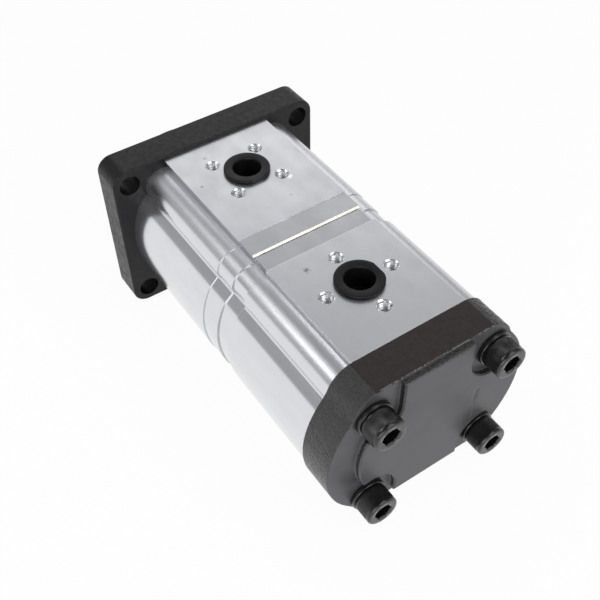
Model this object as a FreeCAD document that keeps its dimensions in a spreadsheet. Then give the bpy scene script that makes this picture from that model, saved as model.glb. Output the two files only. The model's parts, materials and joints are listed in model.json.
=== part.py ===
"""Tandem external gear pump, built piece by piece in millimetres.

The frame: the origin is the centre of the pilot on the mounting face, +Y runs out along the
drive shaft, +X points from the drive shaft to the driven gear, and +Z is the pressure side.
Everything behind the mounting face lies towards -Y.
"""

import FreeCAD, Part
import math
import os
import re
import Sketcher
from FreeCAD import Placement, Rotation, Vector

SIZES = {
    # Mounting flange, which is also the front cover
    "flange_width": 118,
    "flange_height": 90,
    "flange_thickness": 18,
    "flange_corner_radius": 8,
    "flange_edge_break": 0.6,
    "flange_hole_edge": 9,
    "flange_hole_diameter": 11,
    "pilot_diameter": 80,
    "pilot_height": 7,
    "pilot_chamfer": 1,
    "recess_width": 9,
    "recess_depth": 4,
    "recess_wall": 7,
    # Gears
    "gear_axis_spacing": 31,
    "gear_teeth": 12,
    "working_pressure_angle": 24.6,
    "gear_addendum": 2.56,
    "gear_tip_gap": 0.5,
    "tooth_backlash": 0.24,
    "gear_bore_clearance": 0.06,
    "gear_side_clearance": 0.05,
    "front_gear_width": 21,
    "rear_gear_width": 21,
    # Bearing blocks, bushes and balance seals
    "front_block_length": 19.5,
    "rear_block_length": 24,
    "block_clearance": 0.04,
    "block_relief_depth": 1.2,
    "block_relief_width": 7,
    "journal_diameter": 18,
    "journal_chamfer": 0.8,
    "bush_wall": 1.5,
    "bush_clearance": 0.03,
    "balance_seal_wall": 0.9,
    "balance_seal_width": 1.3,
    "balance_seal_depth": 1.4,
    # Pump bodies
    "body_height": 86.1,
    "port_face_width": 60,
    "screw_boss_radius": 10.2,
    "body_waist_radius": 7,
    "body_shoulder_radius": 16,
    "body_shoulder_drop": 23.75,
    "body_side_radius": 47.5,
    "body_side_offset": 5,
    "partition_thickness": 22.9,
    "spigot_length": 4.9,
    "spigot_clearance": 0.05,
    "front_neck_length": 12.5,
    "front_neck_depth": 0.4,
    "rear_neck_length": 10.9,
    "rear_neck_depth": 1.1,
    "joint_chamfer": 0.8,
    # Through screws
    "screw_spacing_wide": 64,
    "screw_edge_distance": 14.05,
    "screw_diameter": 10,
    "screw_clearance": 0.5,
    "screw_thread_length": 13,
    "screw_thread_clearance": 0.05,
    "screw_head_diameter": 16,
    "screw_head_height": 10,
    "screw_socket_width": 8,
    "screw_socket_depth": 5.2,
    "screw_edge_round": 1,
    "washer_diameter": 17.4,
    "washer_thickness": 2.5,
    "washer_clearance": 0.2,
    # Ports
    "pressure_port_diameter": 16,
    "pressure_bolt_circle": 35,
    "suction_port_diameter": 20,
    "suction_bolt_circle": 40,
    "port_drill_diameter": 5,
    "port_drill_depth": 13,
    "port_sink_diameter": 7.4,
    # Transport plugs
    "plug_rim_overhang": 3.5,
    "plug_rim_thickness": 1.75,
    "plug_wall": 1,
    "plug_length": 13,
    "plug_floor": 1.4,
    "plug_clearance": 0.1,
    "plug_seat_gap": 0.15,
    "plug_flat_depth": 0.9,
    # Rear cover
    "cover_thickness": 18,
    "cover_bottom_step": 2.55,
    "cover_corner_radius": 13.5,
    "cover_corner_inset": 3.3,
    "cover_corner_stand": 2.48,
    "cover_waist_radius": 15,
    "cover_overhang": 1.4,
    "cover_edge_round": 0.6,
    "cover_pad_height": 3.1,
    "cover_pad_radius": 39.5,
    "cover_pad_top_step": 0.55,
    "cover_pad_bottom_step": 3.9,
    "cover_pad_screw_room": 13.5,
    "cover_pad_edge_break": 0.7,
    "spot_face_diameter": 19,
    "spot_face_depth": 0.2,
    # Face seals and dowels
    "face_seal_radius": 21.8,
    "face_seal_width": 2.4,
    "face_seal_depth": 1.7,
    "dowel_diameter": 6,
    "dowel_length": 11,
    "dowel_seal_gap": 1.3,
    "dowel_clearance": 0.02,
    "dowel_chamfer": 0.6,
    # Shaft end, shaft seal and coupling
    "shaft_bore_clearance": 0.6,
    "shaft_shoulder": 9,
    "taper_diameter": 17,
    "taper_length": 22,
    "taper_ratio": 5,
    "thread_diameter": 12,
    "thread_length": 15,
    "key_width": 3,
    "key_radius": 6.5,
    "key_height": 5,
    "key_clearance": 0.02,
    "key_from_shoulder": 10,
    "nut_width": 18,
    "nut_height": 7,
    "nut_clearance": 0.02,
    "nut_washer_diameter": 21,
    "nut_washer_thickness": 2.6,
    "shaft_seal_diameter": 32,
    "shaft_seal_width": 7,
    "shaft_seal_wall": 1.4,
    "shaft_seal_lip_clearance": 0.05,
    "ring_groove_depth": 1.1,
    "ring_thickness": 1.2,
    "ring_width": 3,
    "ring_gap": 7,
    "ring_clearance": 0.1,
    "ring_to_edge": 1.6,
    "coupling_diameter": 24,
    "coupling_clearance": 0.5,
    "coupling_end_gap": 0.5,
    "spline_teeth": 6,
    "spline_minor_diameter": 12,
    "spline_major_diameter": 15,
    "spline_width": 3.6,
    "spline_clearance": 0.08,
    "spline_length": 11,
    "section_seal_width": 4,
}

doc = FreeCAD.newDocument("TandemGearPump")
sheet = doc.addObject("Spreadsheet::Sheet", "Sizes")
for row, (alias, amount) in enumerate(SIZES.items(), start=1):
    sheet.set("A%d" % row, alias.replace("_", " "))
    sheet.set("B%d" % row, str(amount))
    sheet.setAlias("B%d" % row, alias)
doc.recompute()

# Lengths that follow from the sizes above, as expressions of the sheet's names
MIDDLE = "(gear_axis_spacing / 2)"
TIP_RADIUS = "(gear_axis_spacing / 2 + gear_addendum)"
BORE_RADIUS = "(%s + gear_bore_clearance)" % TIP_RADIUS
FRONT_STACK = "(2 * front_block_length + front_gear_width + 2 * gear_side_clearance)"
REAR_STACK = "(2 * rear_block_length + rear_gear_width + 2 * gear_side_clearance)"
FRONT_LENGTH = "(%s + partition_thickness)" % FRONT_STACK
REAR_LENGTH = "(spigot_length + %s)" % REAR_STACK
FRONT_AT = "flange_thickness"
REAR_AT = "(flange_thickness + %s)" % FRONT_LENGTH
COVER_AT = "(%s + %s)" % (REAR_AT, REAR_LENGTH)
FRONT_PORT_AT = "(%s / 2)" % FRONT_STACK
REAR_PORT_AT = "(spigot_length + %s / 2)" % REAR_STACK
REAR_CAVITY_AT = "(%s + spigot_length)" % REAR_AT
TAIL_AT = "(flange_thickness + %s + section_seal_width)" % FRONT_STACK
BLOCK_RADIUS = "(%s - block_clearance)" % BORE_RADIUS
BALANCE_RADIUS = "(%s - balance_seal_wall)" % BLOCK_RADIUS
BUSH_OUTER = "(journal_diameter / 2 + bush_clearance + bush_wall)"
SCREW_SEAT_AT = "(%s + cover_thickness - spot_face_depth)" % COVER_AT
DOWEL_REACH = "(%s + face_seal_radius + face_seal_width + dowel_seal_gap + dowel_diameter / 2)" % MIDDLE
SCREW_SPACING_HIGH = "(body_height - 2 * screw_edge_distance)"
COVER_BOTTOM = "(body_height / 2 - cover_bottom_step)"
# The cover's corners follow the screws. Its side is the circle that reaches a little past the
# body and leaves the upper corners standing out of it.
COVER_REACH = "(body_side_offset + body_side_radius + cover_overhang)"
COVER_CORNER_ACROSS = "(screw_spacing_wide / 2 - cover_corner_inset)"
COVER_CORNER_UP = "(body_height / 2 - cover_corner_radius)"
COVER_TOUCH = "(%s - cover_corner_radius + cover_corner_stand)" % COVER_REACH
COVER_SIDE_ACROSS = "((%s ^ 2 - %s ^ 2 - %s ^ 2) / 2 / (%s - %s))" % (
    COVER_TOUCH, COVER_CORNER_ACROSS, COVER_CORNER_UP, COVER_TOUCH, COVER_CORNER_ACROSS,
)
COVER_SIDE_RADIUS = "(%s - %s)" % (COVER_REACH, COVER_SIDE_ACROSS)
# Where the rounded shoulder of a body's side, which runs into the wide side curve, has its centre
SHOULDER_SINE = "((body_height / 2 - body_shoulder_drop) / body_side_radius)"
SHOULDER_ACROSS = (
    "(body_side_offset + (body_side_radius - body_shoulder_radius) * sqrt(1 - %s ^ 2))" % SHOULDER_SINE
)
SHOULDER_UP = "((body_side_radius - body_shoulder_radius) * %s)" % SHOULDER_SINE
# The key's flat top stands above the taper, and its round foot lies in the shaft
KEY_UP = "(taper_diameter / 2 - key_from_shoulder / taper_ratio / 2 + key_height / 4)"


def bound(expression):
    """Put the sheet's name before every size in an expression."""
    return re.sub(r"[a-z][a-z_]+", lambda word: "Sizes." + word[0] if word[0] in SIZES else word[0], expression)


def number(expression):
    """The present value of an expression of sizes."""
    return float(sheet.evalExpression(bound(expression)))


def bind(thing, setting, expression):
    """Tie one setting of an object to an expression of sizes."""
    thing.setExpression(setting, bound(expression))


def new_body(label, station="0", across="0", up="0"):
    """An empty body whose own origin lies at a distance behind the mounting face."""
    body = doc.addObject("PartDesign::Body", label)
    body.Label = label
    bind(body, "Placement.Base.x", across)
    bind(body, "Placement.Base.y", "-(%s)" % station)
    bind(body, "Placement.Base.z", up)
    return body


def new_sketch(body, name, plane="XZ_Plane", offset="0"):
    """A sketch on one of the body's origin planes, moved along the plane's normal."""
    support = next(item for item in body.Origin.OriginFeatures if item.Role == plane)
    sketch = body.newObject("Sketcher::SketchObject", "%s_%s" % (body.Label, name))
    sketch.AttachmentSupport = (support, [""])
    sketch.MapMode = "FlatFace"
    bind(sketch, "AttachmentOffset.Base.z", offset)
    return sketch


def constrain(sketch, expression, kind, *places):
    """Add a constraint whose amount follows an expression of sizes."""
    index = sketch.addConstraint(Sketcher.Constraint(kind, *places, number(expression)))
    bind(sketch, "Constraints[%d]" % index, expression)


def pin(sketch, geometry, point, across, up):
    """Hold a point of a curve at two distances from the sketch's origin."""
    constrain(sketch, across, "DistanceX", -1, 1, geometry, point)
    constrain(sketch, up, "DistanceY", -1, 1, geometry, point)


def join(sketch, kind, first, first_end, second, second_end):
    """Make two curves meet end to end, as Coincident or Tangent."""
    sketch.addConstraint(Sketcher.Constraint(kind, first, first_end, second, second_end))


def circle(sketch, across, up, radius):
    """A circle with its centre and radius tied to sizes."""
    shape = Part.Circle(Vector(number(across), number(up), 0), Vector(0, 0, 1), number(radius))
    geometry = sketch.addGeometry(shape, False)
    pin(sketch, geometry, 3, across, up)
    constrain(sketch, radius, "Radius", geometry)


def polygon(sketch, corners):
    """A closed outline of straight lines through corners tied to sizes."""
    points = [Vector(number(across), number(up), 0) for across, up in corners]
    lines = [
        sketch.addGeometry(Part.LineSegment(point, points[(turn + 1) % len(points)]), False)
        for turn, point in enumerate(points)
    ]
    for turn, line in enumerate(lines):
        join(sketch, "Coincident", line, 2, lines[(turn + 1) % len(lines)], 1)
        pin(sketch, line, 1, *corners[turn])


def rectangle(sketch, left, bottom, right, top):
    """A rectangle between two corners tied to sizes."""
    polygon(sketch, [(left, bottom), (right, bottom), (right, top), (left, top)])


def arc(sketch, centre, radius, start, end):
    """An arc from a start point to an end point, counterclockwise about its centre."""
    begin = math.atan2(start.y - centre.y, start.x - centre.x)
    finish = math.atan2(end.y - centre.y, end.x - centre.x)
    if finish < begin:
        finish += 2 * math.pi
    whole = Part.Circle(centre, Vector(0, 0, 1), radius)
    return sketch.addGeometry(Part.ArcOfCircle(whole, begin, finish), False)


def figure_eight(sketch, radius):
    """The joined outline of two equal circles about the drive axis and the driven axis."""
    middle, size = number(MIDDLE), number(radius)
    crossing = math.sqrt(size ** 2 - middle ** 2)
    top, bottom = Vector(middle, crossing, 0), Vector(middle, -crossing, 0)
    drive = arc(sketch, Vector(0, 0, 0), size, top, bottom)
    driven = arc(sketch, Vector(2 * middle, 0, 0), size, bottom, top)
    join(sketch, "Coincident", drive, 2, driven, 1)
    join(sketch, "Coincident", driven, 2, drive, 1)
    for geometry, across in ((drive, "0"), (driven, "gear_axis_spacing")):
        pin(sketch, geometry, 3, across, "0")
        constrain(sketch, radius, "Radius", geometry)


def stadium(sketch, radius):
    """Two half circles about the gear axes, joined by straight lines."""
    spacing, size = number("gear_axis_spacing"), number(radius)
    left = arc(sketch, Vector(0, 0, 0), size, Vector(0, size, 0), Vector(0, -size, 0))
    right = arc(sketch, Vector(spacing, 0, 0), size, Vector(spacing, -size, 0), Vector(spacing, size, 0))
    bottom = sketch.addGeometry(Part.LineSegment(Vector(0, -size, 0), Vector(spacing, -size, 0)), False)
    top = sketch.addGeometry(Part.LineSegment(Vector(spacing, size, 0), Vector(0, size, 0)), False)
    join(sketch, "Tangent", left, 2, bottom, 1)
    join(sketch, "Tangent", bottom, 2, right, 1)
    join(sketch, "Tangent", right, 2, top, 1)
    join(sketch, "Tangent", top, 2, left, 1)
    pin(sketch, left, 3, "0", "0")
    pin(sketch, right, 3, "gear_axis_spacing", "0")
    constrain(sketch, radius, "Radius", left)


def pad(body, sketch, length, reverse=False):
    """Add material from a sketch, away from the plane's normal when reversed."""
    feature = body.newObject("PartDesign::Pad", sketch.Name + "_pad")
    feature.Profile = sketch
    feature.Reversed = reverse
    bind(feature, "Length", length)
    doc.recompute()
    return feature


def checked_cut(body, feature):
    """Recompute and make sure that a cutting feature took material away."""
    before = body.Tip.BaseFeature.Shape.Volume if body.Tip.BaseFeature else 0
    doc.recompute()
    if feature.Shape.isNull() or feature.Shape.Volume >= before - 1e-6:
        raise RuntimeError("%s cut nothing" % feature.Name)
    if not feature.Shape.isValid():
        raise RuntimeError("%s left a broken solid" % feature.Name)
    return feature


def pocket(body, sketch, depth, along_normal=False):
    """Cut to a depth, against the plane's normal unless told to go along it."""
    feature = body.newObject("PartDesign::Pocket", sketch.Name + "_pocket")
    feature.Profile = sketch
    feature.Reversed = along_normal
    bind(feature, "Length", depth)
    return checked_cut(body, feature)


def revolve(body, sketch, axis="H_Axis"):
    """Turn a half section about one of its sketch's axes."""
    feature = body.newObject("PartDesign::Revolution", sketch.Name + "_turned")
    feature.Profile = sketch
    feature.ReferenceAxis = (sketch, [axis])
    feature.Angle = 360
    doc.recompute()
    return feature


def groove(body, sketch, axis="H_Axis"):
    """Cut a half section turned about one of its sketch's axes."""
    feature = body.newObject("PartDesign::Groove", sketch.Name + "_groove")
    feature.Profile = sketch
    feature.ReferenceAxis = (sketch, [axis])
    feature.Angle = 360
    return checked_cut(body, feature)


def edges_where(shape, test):
    """The names of the edges that pass a test."""
    return ["Edge%d" % place for place, edge in enumerate(shape.Edges, start=1) if test(edge)]


def dress(body, kind, test, setting, amount):
    """Fillet or chamfer the edges of the body's tip that pass a test."""
    base = body.Tip
    names = edges_where(base.Shape, test)
    if not names:
        raise RuntimeError("%s has no edge to %s" % (body.Label, kind.lower()))
    feature = body.newObject("PartDesign::" + kind, "%s_%s" % (base.Name, kind.lower()))
    feature.Base = (base, names)
    bind(feature, setting, amount)
    doc.recompute()
    return feature


def round_edges(body, test, radius):
    return dress(body, "Fillet", test, "Radius", radius)


def bevel_edges(body, test, size):
    return dress(body, "Chamfer", test, "Size", size)


def lies_at(edge, station):
    """Whether an edge lies in the plane at a distance behind its body's own origin."""
    box = edge.BoundBox
    return abs(box.YMin + station) < 1e-4 and abs(box.YMax + station) < 1e-4


def is_level(edge):
    """Whether an edge keeps one height, as the edges of the port faces do."""
    return edge.BoundBox.ZLength < 1e-4


def is_round(edge, radius):
    """Whether an edge is an arc of a radius."""
    return isinstance(edge.Curve, Part.Circle) and abs(edge.Curve.Radius - radius) < 1e-4


def around(body, feature, axis_name, count):
    """Repeat a feature evenly about one of the body's own axes."""
    axis = next(item for item in body.Origin.OriginFeatures if item.Role == axis_name)
    pattern = body.newObject("PartDesign::PolarPattern", feature.Name + "_around")
    pattern.Originals = [feature]
    pattern.Axis = (axis, [""])
    pattern.Angle = 360
    bind(pattern, "Occurrences", count)
    body.Tip = pattern
    doc.recompute()
    return pattern


def four_places(wide, high):
    """Expressions for the corners of a rectangle of holes about the middle of the body."""
    return [
        ("%s %s %s / 2" % (MIDDLE, side, wide), "%s %s / 2" % (level, high))
        for side in "+-"
        for level in ("", "-")
    ]


SCREW_PLACES = four_places("screw_spacing_wide", SCREW_SPACING_HIGH)
DOWEL_PLACES = [("%s %s %s" % (MIDDLE, side, DOWEL_REACH), "0") for side in "+-"]


def body_outline(sketch, inset="0"):
    """The outline of an extruded body, drawn smaller by an inset.

    A flat port face stands on two screw bosses above and below. Each boss runs through a
    hollow curve and over a rounded shoulder into the wide side that holds the gears.
    """
    small = number(inset)
    middle = number(MIDDLE)
    half_height = number("body_height") / 2 - small
    half_face = number("port_face_width") / 2 - small
    boss_radius = number("screw_boss_radius") - small
    side_radius = number("body_side_radius") - small
    shoulder_radius = number("body_shoulder_radius") - small
    waist_radius = number("body_waist_radius") + small
    boss_across, boss_up = number("screw_spacing_wide") / 2, number(SCREW_SPACING_HIGH) / 2
    side_across = number("body_side_offset")
    shoulder = (number(SHOULDER_ACROSS), number(SHOULDER_UP))
    foot_up = boss_up + math.sqrt(boss_radius ** 2 - (boss_across - half_face) ** 2)
    waist = between_circles((boss_across, boss_up), boss_radius, shoulder, shoulder_radius, waist_radius)

    def place(right, top, across, up):
        return Vector(middle + right * across, top * up, 0)

    boss_touch = toward(boss_across, boss_up, boss_radius, *waist)
    shoulder_touch = toward(*shoulder, shoulder_radius, *waist)
    shoulder_reach = math.hypot(shoulder[0] - side_across, shoulder[1])
    stretch = side_radius / shoulder_reach
    side_touch = (side_across + (shoulder[0] - side_across) * stretch, shoulder[1] * stretch)
    corners = {}
    for right, top in ((1, 1), (-1, 1), (-1, -1), (1, -1)):
        clockwise = right * top > 0
        before, after = (1, 2) if clockwise else (2, 1)

        def curve(centre, radius, first, second, hollow=False):
            """An arc of this quarter, from its upper end to its lower end."""
            ends = [place(right, top, *first), place(right, top, *second)]
            if clockwise != hollow:
                ends.reverse()
            return arc(sketch, place(right, top, *centre), radius, *ends)

        foot = (half_face, foot_up)
        wall_ends = place(right, top, half_face, half_height), place(right, top, *foot)
        wall = sketch.addGeometry(Part.LineSegment(*wall_ends), False)
        boss = curve((boss_across, boss_up), boss_radius, foot, boss_touch)
        hollow = curve(waist, waist_radius, boss_touch, shoulder_touch, hollow=True)
        round_shoulder = curve(shoulder, shoulder_radius, shoulder_touch, side_touch)
        corners[right, top] = (wall, round_shoulder, before)
        sketch.addConstraint(Sketcher.Constraint("Vertical", wall))
        pin(sketch, wall, 1, *signed_corner(right, top, "port_face_width / 2", "body_height / 2", inset))
        join(sketch, "Coincident", wall, 2, boss, after)
        join(sketch, "Tangent", boss, before, hollow, before)
        join(sketch, "Tangent", hollow, after, round_shoulder, after)
        screw = signed_corner(right, top, "screw_spacing_wide / 2", "%s / 2" % SCREW_SPACING_HIGH, "0")
        pin(sketch, boss, 3, *screw)
        pin(sketch, round_shoulder, 3, *signed_corner(right, top, SHOULDER_ACROSS, SHOULDER_UP, "0"))
        constrain(sketch, "screw_boss_radius - %s" % inset, "Radius", boss)
        constrain(sketch, "body_waist_radius + %s" % inset, "Radius", hollow)
    for right in (1, -1):
        ends = [place(right, top, *side_touch) for top in (-right, right)]
        side = arc(sketch, place(right, 0, side_across, 0), side_radius, *ends)
        pin(sketch, side, 3, "%s + %d * body_side_offset" % (MIDDLE, right), "0")
        constrain(sketch, "body_side_radius - %s" % inset, "Radius", side)
        for end, top in ((1, -right), (2, right)):
            round_shoulder, before = corners[right, top][1:]
            join(sketch, "Tangent", side, end, round_shoulder, before)
    for top in (1, -1):
        right_wall, left_wall = corners[1, top][0], corners[-1, top][0]
        start, end = place(1, top, half_face, half_height), place(-1, top, half_face, half_height)
        face = sketch.addGeometry(Part.LineSegment(start, end), False)
        join(sketch, "Coincident", face, 1, right_wall, 1)
        join(sketch, "Coincident", face, 2, left_wall, 1)


def cover_outline(sketch):
    """The outline of the rear cover: the body's form without its steps, with a higher bottom."""
    middle = number(MIDDLE)
    corner_radius, waist_radius = number("cover_corner_radius"), number("cover_waist_radius")
    side_across, side_radius = number(COVER_SIDE_ACROSS), number(COVER_SIDE_RADIUS)
    corner_across = number(COVER_CORNER_ACROSS)
    levels = {1: ("body_height / 2", 1), -1: (COVER_BOTTOM, -1)}
    hollows = {}
    corners = {}
    for top, (level, sign) in levels.items():
        corner_up = number(level) - corner_radius
        corner_at = (corner_across, corner_up)
        waist = between_circles(corner_at, corner_radius, (side_across, 0), side_radius, waist_radius)
        corner_touch = toward(corner_across, corner_up, corner_radius, *waist)
        side_touch = toward(side_across, 0, side_radius, *waist)
        for right in (1, -1):
            clockwise = right * top > 0

            def place(across, up):
                return Vector(middle + right * across, top * up, 0)

            crest = place(corner_across, number(level))
            turn, waist_end = place(*corner_touch), place(*side_touch)
            corner_centre, waist_centre = place(corner_across, corner_up), place(*waist)
            bend = (turn, crest) if clockwise else (crest, turn)
            corner = arc(sketch, corner_centre, corner_radius, *bend)
            ends = (turn, waist_end) if clockwise else (waist_end, turn)
            hollow = arc(sketch, waist_centre, waist_radius, *ends)
            join(sketch, "Tangent", corner, 1 if clockwise else 2, hollow, 1 if clockwise else 2)
            across = "%s + %d * %s" % (MIDDLE, right, COVER_CORNER_ACROSS)
            pin(sketch, corner, 3, across, "%d * (%s - cover_corner_radius)" % (sign, level))
            constrain(sketch, "cover_corner_radius", "Radius", corner)
            constrain(sketch, "cover_waist_radius", "Radius", hollow)
            corners[right, top] = (corner, 2 if clockwise else 1, crest)
            hollows[right, top] = (hollow, 2 if clockwise else 1, waist_end)
    for right in (1, -1):
        low, high = hollows[right, -right], hollows[right, right]
        side = arc(sketch, Vector(middle + right * side_across, 0, 0), side_radius, low[2], high[2])
        pin(sketch, side, 3, "%s + %d * %s" % (MIDDLE, right, COVER_SIDE_ACROSS), "0")
        constrain(sketch, COVER_SIDE_RADIUS, "Radius", side)
        join(sketch, "Tangent", side, 1, low[0], low[1])
        join(sketch, "Tangent", side, 2, high[0], high[1])
    for top in (1, -1):
        (right_corner, right_end, start), (left_corner, left_end, end) = corners[1, top], corners[-1, top]
        face = sketch.addGeometry(Part.LineSegment(start, end), False)
        join(sketch, "Tangent", face, 1, right_corner, right_end)
        join(sketch, "Tangent", face, 2, left_corner, left_end)


def between_circles(first, first_radius, second, second_radius, radius):
    """The centre of a hollow curve that touches two circles from outside, on their right."""
    gap = math.hypot(first[0] - second[0], first[1] - second[1])
    near, far = second_radius + radius, first_radius + radius
    along = (near ** 2 - far ** 2 + gap ** 2) / (2 * gap)
    aside = math.sqrt(near ** 2 - along ** 2)
    step_across, step_up = (first[0] - second[0]) / gap, (first[1] - second[1]) / gap
    across = second[0] + along * step_across + aside * step_up
    return across, second[1] + along * step_up - aside * step_across


def toward(across, up, radius, goal_across, goal_up):
    """The point of a circle that faces a goal."""
    reach = math.hypot(goal_across - across, goal_up - up)
    return across + radius * (goal_across - across) / reach, up + radius * (goal_up - up) / reach


def signed_corner(right, top, across, up, inset):
    """Expressions for a corner in one quarter of a body's outline."""
    return "%s + %d * (%s - %s)" % (MIDDLE, right, across, inset), "%d * (%s - %s)" % (top, up, inset)


def screw_holes(body, name, depth, offset="0", radius="screw_diameter / 2 + screw_clearance", along=True):
    """Four round holes on the pattern of the through screws."""
    sketch = new_sketch(body, name, offset=offset)
    for across, up in SCREW_PLACES:
        circle(sketch, across, up, radius)
    return pocket(body, sketch, depth, along)


def dowel_holes(body, name, offset="0", along=True):
    """Two blind holes for half of a dowel each."""
    sketch = new_sketch(body, name, offset=offset)
    for across, up in DOWEL_PLACES:
        circle(sketch, across, up, "dowel_diameter / 2 + dowel_clearance")
    return pocket(body, sketch, "dowel_length / 2 + dowel_chamfer", along)


def seal_groove(body, offset="0", along=True):
    """The groove of a face seal round both gear bores."""
    sketch = new_sketch(body, "seal_groove", offset=offset)
    stadium(sketch, "face_seal_radius + face_seal_width")
    stadium(sketch, "face_seal_radius")
    return pocket(body, sketch, "face_seal_depth", along)


def face_seal(label, station):
    """A face seal that fills its groove."""
    body = new_body(label, station)
    sketch = new_sketch(body, "section")
    stadium(sketch, "face_seal_radius + face_seal_width")
    stadium(sketch, "face_seal_radius")
    pad(body, sketch, "face_seal_depth")
    return body


def port(body, name, station, top, diameter, bolt_circle, square):
    """A port bore with four countersunk threaded holes, from one port face to the gears.

    The four holes stand square to the body, or turned by an eighth of a turn.
    """
    side = 1 if top else -1
    face = "%d * body_height / 2" % side
    sketch = new_sketch(body, name + "_bore", "XY_Plane", face)
    circle(sketch, MIDDLE, "-(%s)" % station, "%s / 2" % diameter)
    pocket(body, sketch, "body_height / 2", not top)
    reach = "%s / 2 * cos(45)" % bolt_circle if square else "%s / 2" % bolt_circle
    steps = ((1, 1), (-1, 1), (-1, -1), (1, -1)) if square else ((1, 0), (0, 1), (-1, 0), (0, -1))
    places = [
        ("%s + %d * %s" % (MIDDLE, right, reach), "-(%s) + %d * %s" % (station, ahead, reach))
        for right, ahead in steps
    ]
    drilled = new_sketch(body, name + "_threads", "XY_Plane", face)
    for across, along in places:
        circle(drilled, across, along, "port_drill_diameter / 2")
    pocket(body, drilled, "port_drill_depth", not top)
    level = number(face)
    drill_radius = number("port_drill_diameter / 2")
    bevel_edges(
        body,
        lambda edge: is_round(edge, drill_radius) and abs(edge.BoundBox.ZMin - level) < 1e-4,
        "(port_sink_diameter - port_drill_diameter) / 2",
    )


def gear_cavity(body, depth, offset="0", along=True):
    """The figure-eight bore in which both gears of a section run."""
    sketch = new_sketch(body, "gear_cavity", offset=offset)
    figure_eight(sketch, BORE_RADIUS)
    return pocket(body, sketch, depth, along)


def mounting_flange():
    """The front cover with the pilot, the bolt holes and the seat of the shaft seal."""
    body = new_body("mounting_flange")
    plate = new_sketch(body, "plate")
    left, right = "%s - flange_width / 2" % MIDDLE, "%s + flange_width / 2" % MIDDLE
    rectangle(plate, left, "-flange_height / 2", right, "flange_height / 2")
    pad(body, plate, "flange_thickness")
    round_edges(body, lambda edge: edge.BoundBox.YLength > 1, "flange_corner_radius")
    thickness = number("flange_thickness")
    bevel_edges(body, lambda edge: lies_at(edge, 0) or lies_at(edge, thickness), "flange_edge_break")
    pilot = new_sketch(body, "pilot")
    circle(pilot, "0", "0", "pilot_diameter / 2")
    pad(body, pilot, "pilot_height", reverse=True)
    height = number("pilot_height")
    bevel_edges(body, lambda edge: lies_at(edge, -height), "pilot_chamfer")
    recess = new_sketch(body, "pilot_recess", offset="-pilot_height")
    circle(recess, "0", "0", "pilot_diameter / 2 - recess_wall")
    circle(recess, "0", "0", "pilot_diameter / 2 - recess_wall - recess_width")
    pocket(body, recess, "recess_depth", along_normal=True)
    bolts = new_sketch(body, "bolt_holes")
    hole_spacing = ["(%s - 2 * flange_hole_edge)" % side for side in ("flange_width", "flange_height")]
    for across, up in four_places(*hole_spacing):
        circle(bolts, across, up, "flange_hole_diameter / 2")
    pocket(body, bolts, "flange_thickness", along_normal=True)
    bore = new_sketch(body, "shaft_bore", "YZ_Plane")
    seat, ring = "shaft_seal_diameter / 2", "shaft_seal_diameter / 2 + ring_groove_depth"
    shaft = "journal_diameter / 2 + shaft_bore_clearance"
    ring_front = "pilot_height - ring_to_edge"
    ring_back = "%s - ring_thickness - ring_clearance" % ring_front
    seat_back = "%s - shaft_seal_width" % ring_back
    polygon(bore, [
        ("-flange_thickness", "0"), ("pilot_height", "0"), ("pilot_height", seat), (ring_front, seat),
        (ring_front, ring), (ring_back, ring), (ring_back, seat), (seat_back, seat), (seat_back, shaft),
        ("-flange_thickness", shaft),
    ])
    groove(body, bore)
    seal_groove(body, "flange_thickness", along=False)
    screw_holes(
        body, "screw_threads", "screw_thread_length + 1", "flange_thickness",
        "screw_diameter / 2 + screw_thread_clearance", along=False,
    )
    dowel_holes(body, "dowel_holes", "flange_thickness", along=False)
    return body


def front_body():
    """The front extrusion: a blind gear cavity, a partition and a spigot for the rear body."""
    body = new_body("front_body", FRONT_AT)
    full = new_sketch(body, "full_outline")
    body_outline(full)
    pad(body, full, "%s - front_neck_length" % FRONT_LENGTH)
    neck = new_sketch(body, "neck_outline", offset="%s - front_neck_length" % FRONT_LENGTH)
    body_outline(neck, "front_neck_depth")
    pad(body, neck, "front_neck_length")
    length = number(FRONT_LENGTH)
    bevel_edges(body, lambda edge: lies_at(edge, length) and is_level(edge), "joint_chamfer")
    spigot = new_sketch(body, "spigot", offset=FRONT_LENGTH)
    figure_eight(spigot, "%s - spigot_clearance" % BORE_RADIUS)
    pad(body, spigot, "spigot_length")
    gear_cavity(body, FRONT_STACK)
    passage = new_sketch(body, "coupling_passage", offset=FRONT_STACK)
    circle(passage, "0", "0", "coupling_diameter / 2 + coupling_clearance")
    pocket(body, passage, "partition_thickness + spigot_length", along_normal=True)
    seal_groove(body, FRONT_LENGTH, along=False)
    port(body, "pressure", FRONT_PORT_AT, True, "pressure_port_diameter", "pressure_bolt_circle", True)
    port(body, "suction", FRONT_PORT_AT, False, "suction_port_diameter", "suction_bolt_circle", True)
    screw_holes(body, "screw_holes", FRONT_LENGTH)
    dowel_holes(body, "dowel_holes")
    return body


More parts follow.
